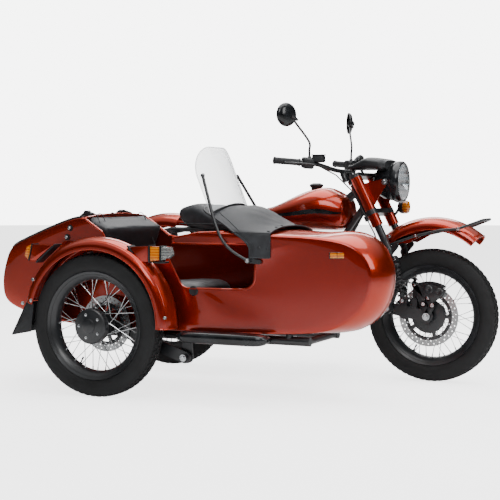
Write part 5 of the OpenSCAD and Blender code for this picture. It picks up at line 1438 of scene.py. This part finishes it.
def build_mirrors():
    """Round mirrors on bent stems."""
    stems, shells, glass = shapes(3)
    for side in (-1, 1):
        root = flipped(grip_point(0.12), side) + Vector((0, 0, 20))
        top = Vector((root.x - 66, side * 418, 1297))
        rod(stems, [root, root + Vector((0, side * 2, 40)), root + Vector((0, side * 6, 84)),
                    top + Vector((32, -side * 62, -48)), top + Vector((18, -side * 22, -10)),
                    top + Vector((14, -side * 8, 0))], 5.5, 12, per=8)
        lathe(stems, [(0, 0), (20, 0), (16, 10), (8, 34), (6, 46), (0, 46)],
              top + Vector((18, -side * 10, -4)), (0.5, -side * 0.75, -0.45), 20)
        lathe(stems, [(0, 0), (9, 0), (9, 12), (6, 16), (0, 16)], root, (0, 0, 1), 16)
        aim = Matrix.Rotation(radians(30 * side), 4, "Z") @ Vector((1, 0, 0))
        lathe(shells, [(53, -3), (56.5, -2), (57, 2), (56, 7), (48, 15), (30, 20), (12, 21.5), (0, 22)], top,
              aim, 48)
        lathe(glass, [(0, -1), (54, -1), (54, 1), (0, 1)], top, aim, 48)
    deliver("mirror_stems", stems, "frame_black", "fork")
    deliver("mirror_shells", shells, "mirror_black", "fork", ["mirrors"], thickness=1.5)
    deliver("mirror_faces", glass, "mirror_glass", "fork")


def build_indicators():
    """Left front indicator: stalk, bullet body and amber lens; the sidecar's lamp serves the right."""
    bodies, lenses = shapes(2)
    place = Vector((WHEELBASE - 222, 150, 852))
    rod(bodies, [steer_point(70, 122, 868), steer_point(92, 122, 868), place], 7, 14)
    lathe(bodies, [(0, -8), (14, -8), (26, -3), (33, 8), (34, 18), (34, 24), (0, 24)], place, (1, 0, 0), 36)
    lathe(lenses, [(0, 24), (32.5, 24), (33.5, 28), (33, 38), (29, 47), (18, 51), (0, 52)], place, (1, 0, 0),
          36)
    deliver("fore_indicator_bodies", bodies, "black_plastic", "fork", ["front_indicators"])
    deliver("fore_indicator_lenses", lenses, "amber_lens", "fork")


def build_caliper():
    """Front caliper: body, piston bosses, bracket and its bolts."""
    metal, black = shapes(2)
    wb = WHEELBASE
    slab(black, rounded([(wb - 34, 483, 10), (wb - 8, 502, 14), (wb + 58, 494, 20), (wb + 111, 459, 12),
                         (wb + 98, 428, 10), (wb + 71, 409, 10), (wb + 38, 422, 30),
                         (wb - 13, 428, 10)]), -112, -93)
    for x, z in ((wb + 14, 459), (wb + 66, 447)):
        lathe(black, [(0, 0), (20, 0), (20, 5), (17, 8), (8, 8), (6, 5), (0, 5)], (x, -112, z), (0, -1, 0),
              32)
    corners = [Vector((wb - 61, 479)), Vector((wb + 8, 417)), Vector((wb - 17, 386)), Vector((wb + 28, 382)),
               Vector((wb - 3, 326))]
    for a, b in ((0, 1), (0, 2), (1, 3), (2, 4), (3, 4)):
        slab(black, link_outline(corners[a], corners[b], 15, 15), -104, -96)
    deliver("caliper_body", black, "frame_black", "fork", bevel=2)
    for x, z in ((q.x, q.y) for q in corners):
        bolt(metal, (x, -104, z), (0, -1, 0), 7, 7)
    deliver("caliper_bolts", metal, "bright_steel", "fork", angle=30)


def build_rear_units():
    """Rear and sidecar spring units."""
    units, bolts = shapes(2)
    for side in (-1, 1):
        build_spring_unit(units, (-40, side * 132.3, 432), (70, side * 132.3, 690), 23, 9, 12)
        bolt(bolts, (-40, side * 144, 432), (0, side, 0), 9, 8)
        bolt(bolts, (70, side * 144, 690), (0, side, 0), 9, 8)
    low, high = Vector((SIDE_X + 172, 262 + 44)), Vector((SIDE_X + 196, 520))
    y = BODY_Y - BODY_W / 2 - 24
    build_spring_unit(units, (low.x, y, low.y), (high.x, y, high.y), 19, 8, 11)
    deliver("spring_units", units, "frame_black", "chassis", ["shock_absorbers"])
    deliver("spring_bolts", bolts, "bright_steel", "chassis", angle=30)


def build_engine_trim():
    """Rocker cover ribs, plug leads and case bolts."""
    bolts, ribs, leads = shapes(3)
    x0, z0 = 790, 390
    for side in (-1, 1):
        for dx, dz in ((-58, -54), (58, -54), (-58, 56), (58, 56)):
            bolt(bolts, (x0 + dx, side * 378, z0 + dz), (0, side, 0), 7, 7)
        for k in range(5):
            block(ribs, (x0 - 36 + 18 * k, side * 386, z0), (5, 4, 84), None, 1.5)
        rod(leads, [(x0 + 20, side * 318, z0 + 82), (x0 + 24, side * 310, z0 + 112),
                    (x0 + 10, side * 200, z0 + 150), (x0, side * 90, z0 + 140)], 4, 10)
        for k in range(6):
            a = tau * k / 6
            bolt(bolts, (x0 + 76 * cos(a), side * 111, z0 + 76 * sin(a)), (0, side, 0), 5, 5)
    for k in range(8):
        a = tau * k / 8
        bolt(bolts, (x0 + 192, 76 * cos(a), z0 + 20 + 76 * sin(a)), (1, 0, 0), 5, 5)
    deliver("engine_bolts", bolts, "bright_steel", "chassis", angle=30)
    deliver("rocker_ribs", ribs, "cast_alloy", "chassis")
    deliver("plug_leads", leads, "hose_rubber", "chassis")


def build_step():
    """Rounded, flat-topped step along the tub's outer side, with its two brackets."""
    step = bmesh.new()
    loops = []
    for k in range(25):
        t = -cos(pi * k / 24)
        size = max(0.06, 1 - abs(t) ** 9) ** 0.5
        loops.append([(832 + 220 * t, SIDE_Y + 50 + 45 * size * signed_power(cos(b), 0.75),
                       290 + 28 * size * signed_power(sin(b), 0.75))
                       for b in (tau * i / 40 for i in range(40))])
    skin(step, loops)
    for x in (SIDE_X + 470, SIDE_X + 760):
        rod(step, [(x, SIDE_Y + 76, 290), (x, BODY_Y - 190, 276)], 13, 16)
    deliver("step_tube", step, "mirror_black", "chassis", ["side_step"])


def build_frame_bolts():
    """Bolts of the sidecar's frame and swinging arm."""
    bolts = bmesh.new()
    arm_y = BODY_Y - BODY_W / 2 - 16
    bolt(bolts, (SIDE_X + 403, arm_y - 32, 191), (0, -1, 0), 11, 9)
    bolt(bolts, (SIDE_X + 172, arm_y - 19, 306), (0, -1, 0), 8, 7)
    bolt(bolts, (SIDE_X + 196, arm_y - 19, 520), (0, -1, 0), 8, 7)
    deliver("frame_bolts", bolts, "bright_steel", "chassis", angle=30)

# ---------------------------------------------------------------- stage


def looking(place, aim):
    """Matrix of a camera or lamp at a place, facing along aim."""
    return Matrix.Translation(place) @ aim.to_track_quat("-Z", "Y").to_matrix().to_4x4()


def build_stage():
    """Pale floor, soft boxes, world and the camera."""
    scene = bpy.context.scene
    camera = bpy.data.objects.new("camera", bpy.data.cameras.new("camera"))
    scene.collection.objects.link(camera)
    camera.data.sensor_width = 36
    camera.data.lens = 88.8
    camera.data.clip_end = 100
    az, dip = radians(25.34), radians(2.65)
    aim = Vector((-sin(az) * cos(dip), cos(az) * cos(dip), -sin(dip)))
    place = TO_FRAME @ Vector((3233.6, -5835.2, 923.3))
    camera.matrix_world = looking(place, aim)
    scene.camera = camera

    floor = bmesh.new()
    bmesh.ops.create_circle(floor, cap_ends=True, segments=96, radius=30)
    mesh = bpy.data.meshes.new("floor")
    floor.to_mesh(mesh)
    floor.free()
    ground = bpy.data.objects.new("floor", mesh)
    scene.collection.objects.link(ground)
    # painted studio floor: pale, matt, a trace of mottling
    material, tree, shader, where = surface("studio floor, matt white paint", {
        "Roughness": 0.75, "Specular IOR Level": 0.2, "Emission Color": linear("#ffffff")})
    # the floor is lit from below to the eye only, so that it joins the white backdrop
    ray = add(tree, "ShaderNodeLightPath").outputs["Is Camera Ray"]
    glow = add(tree, "ShaderNodeMapRange", {"Value": ray, "To Min": 0.12, "To Max": 2.6})
    tree.links.new(glow.outputs[0], shader.inputs["Emission Strength"])
    mottle = add(tree, "ShaderNodeTexNoise", {"Vector": where, "Scale": per_metre(400), "Detail": 3.0})
    tree.links.new(two_tone(tree, mottle.outputs["Fac"], "#f2f2f3", "#f8f8f8"), shader.inputs["Base Color"])
    mesh.materials.append(material)

    middle = TO_FRAME @ Vector((600, -400, 500))
    for name, offset, size, power in (("overhead", (0.2, 0.3, 4.2), (5.5, 4.0), 260),
                                      ("key", (1.6, -4.6, 3.6), (2.2, 2.2), 110),
                                      ("front", (5.0, -1.4, 2.6), (1.6, 2.6), 80),
                                      ("back", (-1.5, 4.8, 3.2), (4.0, 1.4), 90)):
        lamp = bpy.data.lights.new(name, "AREA")
        lamp.shape = "RECTANGLE"
        lamp.size, lamp.size_y = size
        lamp.energy = power * colours().light_level
        holder = bpy.data.objects.new(name, lamp)
        scene.collection.objects.link(holder)
        spot = middle + Vector(offset)
        holder.matrix_world = looking(spot, middle - spot)

    world = bpy.data.worlds.new("studio")
    scene.world = world
    world.use_nodes = True
    tree = world.node_tree
    tree.nodes.clear()
    path = add(tree, "ShaderNodeLightPath")
    seen = add(tree, "ShaderNodeBackground", {"Color": linear("#ffffff"), "Strength": 6.5})
    soft = add(tree, "ShaderNodeBackground", {"Color": linear("#ffffff"), "Strength": 0.42})
    # shiny surfaces see a dark studio below the horizon line and a bright ceiling
    where = add(tree, "ShaderNodeTexCoord").outputs["Generated"]
    split = add(tree, "ShaderNodeSeparateXYZ", {0: where})
    ceiling = add(tree, "ShaderNodeMapRange",
                  {"Value": split.outputs["Z"], "From Min": 0.35, "From Max": 0.85})
    shade = two_tone(tree, ceiling.outputs[0], "#101011", "#ffffff", 0.2, 0.8)
    gloss = add(tree, "ShaderNodeBackground", {"Color": shade, "Strength": 0.8})
    lit = add(tree, "ShaderNodeMixShader",
              {0: path.outputs["Is Glossy Ray"], 1: soft.outputs[0], 2: gloss.outputs[0]})
    both = add(tree, "ShaderNodeMixShader",
               {0: path.outputs["Is Camera Ray"], 1: lit.outputs[0], 2: seen.outputs[0]})
    add(tree, "ShaderNodeOutputWorld", {"Surface": both.outputs[0]})


def finish_construction_parts():
    """Gives each construction part that stays the finish of its slot."""
    for name, node in frame["nodes"].items():
        slot_name = next(p["material_slot"] for p in frame["record"]["subparts"] if p["node"] == name)
        if name.endswith("_disc"):
            FINISHES[name] = ground_disc(f"ground stainless, {name}", centre(name))
        material = FINISHES[name] if name in FINISHES else finish(slot_name)
        node.data.materials.clear()
        node.data.materials.append(material)


def build_wheels():
    """The three wheels: tyres, rims, spokes, hubs and disc carriers."""
    pitches = bpy.context.scene.sidecar_sizes.tread_pitches
    spokes = bpy.context.scene.sidecar_sizes.spokes
    for name, at, side, cap in (("front", (WHEELBASE, 0, AXLE_Z), -1, False),
                                ("rear", (0, 0, AXLE_Z), 1, False),
                                ("sidecar", (SIDE_X, SIDE_Y, AXLE_Z), 1, True)):
        body = name + "_wheel"
        build_tyre(name + "_casing", at, body, name + "_tyre", pitches)
        build_rim(name + "_rim", at, body, name + "_wheel")
        build_spokes(name + "_spokes", at, body, spokes)
        build_hub(name + "_hub", at, body, cap)
        radius = 128 if cap else 148
        build_disc_carrier(name + "_carrier", (at[0], at[1] + side * 68, at[2]), body, radius)

# ---------------------------------------------------------------- add-on


class FinishSettings(bpy.types.PropertyGroup):
    """Colours of the outfit's finishes."""
    paint_face: FloatVectorProperty(name="Paint", description="Paint colour where it faces the eye",
                                    subtype="COLOR", size=3, min=0, max=1, default=linear("#8f1700")[:3])
    # painted highlight: the bright orange that the paint takes where it turns away from the eye
    paint_highlight_edge: FloatVectorProperty(name="Paint edge", description="Paint colour where it turns away",
                                    subtype="COLOR", size=3, min=0, max=1, default=linear("#ec4a06")[:3])
    light_level: FloatProperty(name="Light level", description="Strength of the soft boxes", default=1.0,
                               min=0.1, max=4.0)


class SizeSettings(bpy.types.PropertyGroup):
    """Counts of the repeated details."""
    tread_pitches: IntProperty(name="Tread pitches", description="Tread blocks round each tyre", default=64,
                               min=30, max=90)
    spokes: IntProperty(name="Spokes", description="Spokes in each wheel", default=40, min=20, max=40)


class SIDECAR_OT_stage(bpy.types.Operator):
    """Builds the floor, lights, world and camera"""
    bl_idname = "sidecar.stage"
    bl_label = "Stage and camera"
    bl_options = {"REGISTER", "UNDO"}

    def execute(self, context):
        build_stage()
        return {"FINISHED"}


class SIDECAR_OT_construction(bpy.types.Operator):
    """Finishes the construction parts that stay visible"""
    bl_idname = "sidecar.construction"
    bl_label = "Construction parts"
    bl_options = {"REGISTER", "UNDO"}

    def execute(self, context):
        finish_construction_parts()
        return {"FINISHED"}


class SIDECAR_OT_body(bpy.types.Operator):
    """Builds the sidecar's tub, trunk lid and trims"""
    bl_idname = "sidecar.body"
    bl_label = "Tub and trunk"
    bl_options = {"REGISTER", "UNDO"}

    def execute(self, context):
        build_body()
        build_lid()
        build_body_trim()
        return {"FINISHED"}


class SIDECAR_OT_pads(bpy.types.Operator):
    """Builds the backrest and the cushion"""
    bl_idname = "sidecar.pads"
    bl_label = "Sidecar cushions"
    bl_options = {"REGISTER", "UNDO"}

    def execute(self, context):
        build_sidecar_pads()
        return {"FINISHED"}


class SIDECAR_OT_cover(bpy.types.Operator):
    """Builds the apron, windscreen and stays"""
    bl_idname = "sidecar.cover"
    bl_label = "Cover and screen"
    bl_options = {"REGISTER", "UNDO"}

    def execute(self, context):
        build_apron()
        build_screen()
        build_stays()
        return {"FINISHED"}


class SIDECAR_OT_fenders(bpy.types.Operator):
    """Builds the three fenders and their lamps"""
    bl_idname = "sidecar.fenders"
    bl_label = "Fenders"
    bl_options = {"REGISTER", "UNDO"}

    def execute(self, context):
        build_sidecar_fender()
        build_front_fender()
        build_rear_fender()
        return {"FINISHED"}


class SIDECAR_OT_tank(bpy.types.Operator):
    """Builds the fuel tank and the rider's saddle"""
    bl_idname = "sidecar.tank"
    bl_label = "Tank and saddle"
    bl_options = {"REGISTER", "UNDO"}

    def execute(self, context):
        build_tank()
        build_rider_seat()
        return {"FINISHED"}


class SIDECAR_OT_wheels(bpy.types.Operator):
    """Builds the three wheels"""
    bl_idname = "sidecar.wheels"
    bl_label = "Wheels"
    bl_options = {"REGISTER", "UNDO"}

    def execute(self, context):
        build_wheels()
        return {"FINISHED"}


class SIDECAR_OT_fork(bpy.types.Operator):
    """Builds the springs, sleeves, headlamp, cowl and caliper"""
    bl_idname = "sidecar.fork"
    bl_label = "Fork and lamp"
    bl_options = {"REGISTER", "UNDO"}

    def execute(self, context):
        build_fork()
        build_headlamp()
        build_cowl()
        build_caliper()
        return {"FINISHED"}


class SIDECAR_OT_bars(bpy.types.Operator):
    """Builds the handlebar, controls, mirrors and front indicator"""
    bl_idname = "sidecar.bars"
    bl_label = "Bar and mirrors"
    bl_options = {"REGISTER", "UNDO"}

    def execute(self, context):
        build_handlebar()
        build_mirrors()
        build_indicators()
        return {"FINISHED"}


class SIDECAR_OT_mechanics(bpy.types.Operator):
    """Builds the spring units, engine trim, step and bolts"""
    bl_idname = "sidecar.mechanics"
    bl_label = "Springs and bolts"
    bl_options = {"REGISTER", "UNDO"}

    def execute(self, context):
        build_rear_units()
        build_engine_trim()
        build_step()
        build_frame_bolts()
        return {"FINISHED"}


OPERATORS = [
    SIDECAR_OT_stage, SIDECAR_OT_construction, SIDECAR_OT_body, SIDECAR_OT_pads, SIDECAR_OT_cover,
    SIDECAR_OT_fenders, SIDECAR_OT_tank, SIDECAR_OT_wheels, SIDECAR_OT_fork, SIDECAR_OT_bars,
    SIDECAR_OT_mechanics,
]


class SIDECAR_PT_panel(bpy.types.Panel):
    """Lists the outfit's settings and builders"""
    bl_label = "Sidecar"
    bl_idname = "SIDECAR_PT_panel"
    bl_space_type = "VIEW_3D"
    bl_region_type = "UI"
    bl_category = "Sidecar"

    def draw(self, context):
        for group in (context.scene.sidecar_finishes, context.scene.sidecar_sizes):
            for key in group.__annotations__:
                self.layout.prop(group, key)
        for operator in OPERATORS:
            self.layout.operator(operator.bl_idname)


CLASSES = [FinishSettings, SizeSettings, *OPERATORS, SIDECAR_PT_panel]


def register():
    for cls in CLASSES:
        bpy.utils.register_class(cls)
    bpy.types.Scene.sidecar_finishes = PointerProperty(type=FinishSettings)
    bpy.types.Scene.sidecar_sizes = PointerProperty(type=SizeSettings)


def unregister():
    del bpy.types.Scene.sidecar_finishes
    del bpy.types.Scene.sidecar_sizes
    for cls in reversed(CLASSES):
        bpy.utils.unregister_class(cls)


def main():
    """Builds the whole outfit."""
    register()
    for operator in OPERATORS:
        group, name = operator.bl_idname.split(".")
        getattr(getattr(bpy.ops, group), name)()
    bpy.context.view_layer.update()


if __name__ == "__main__":
    main()
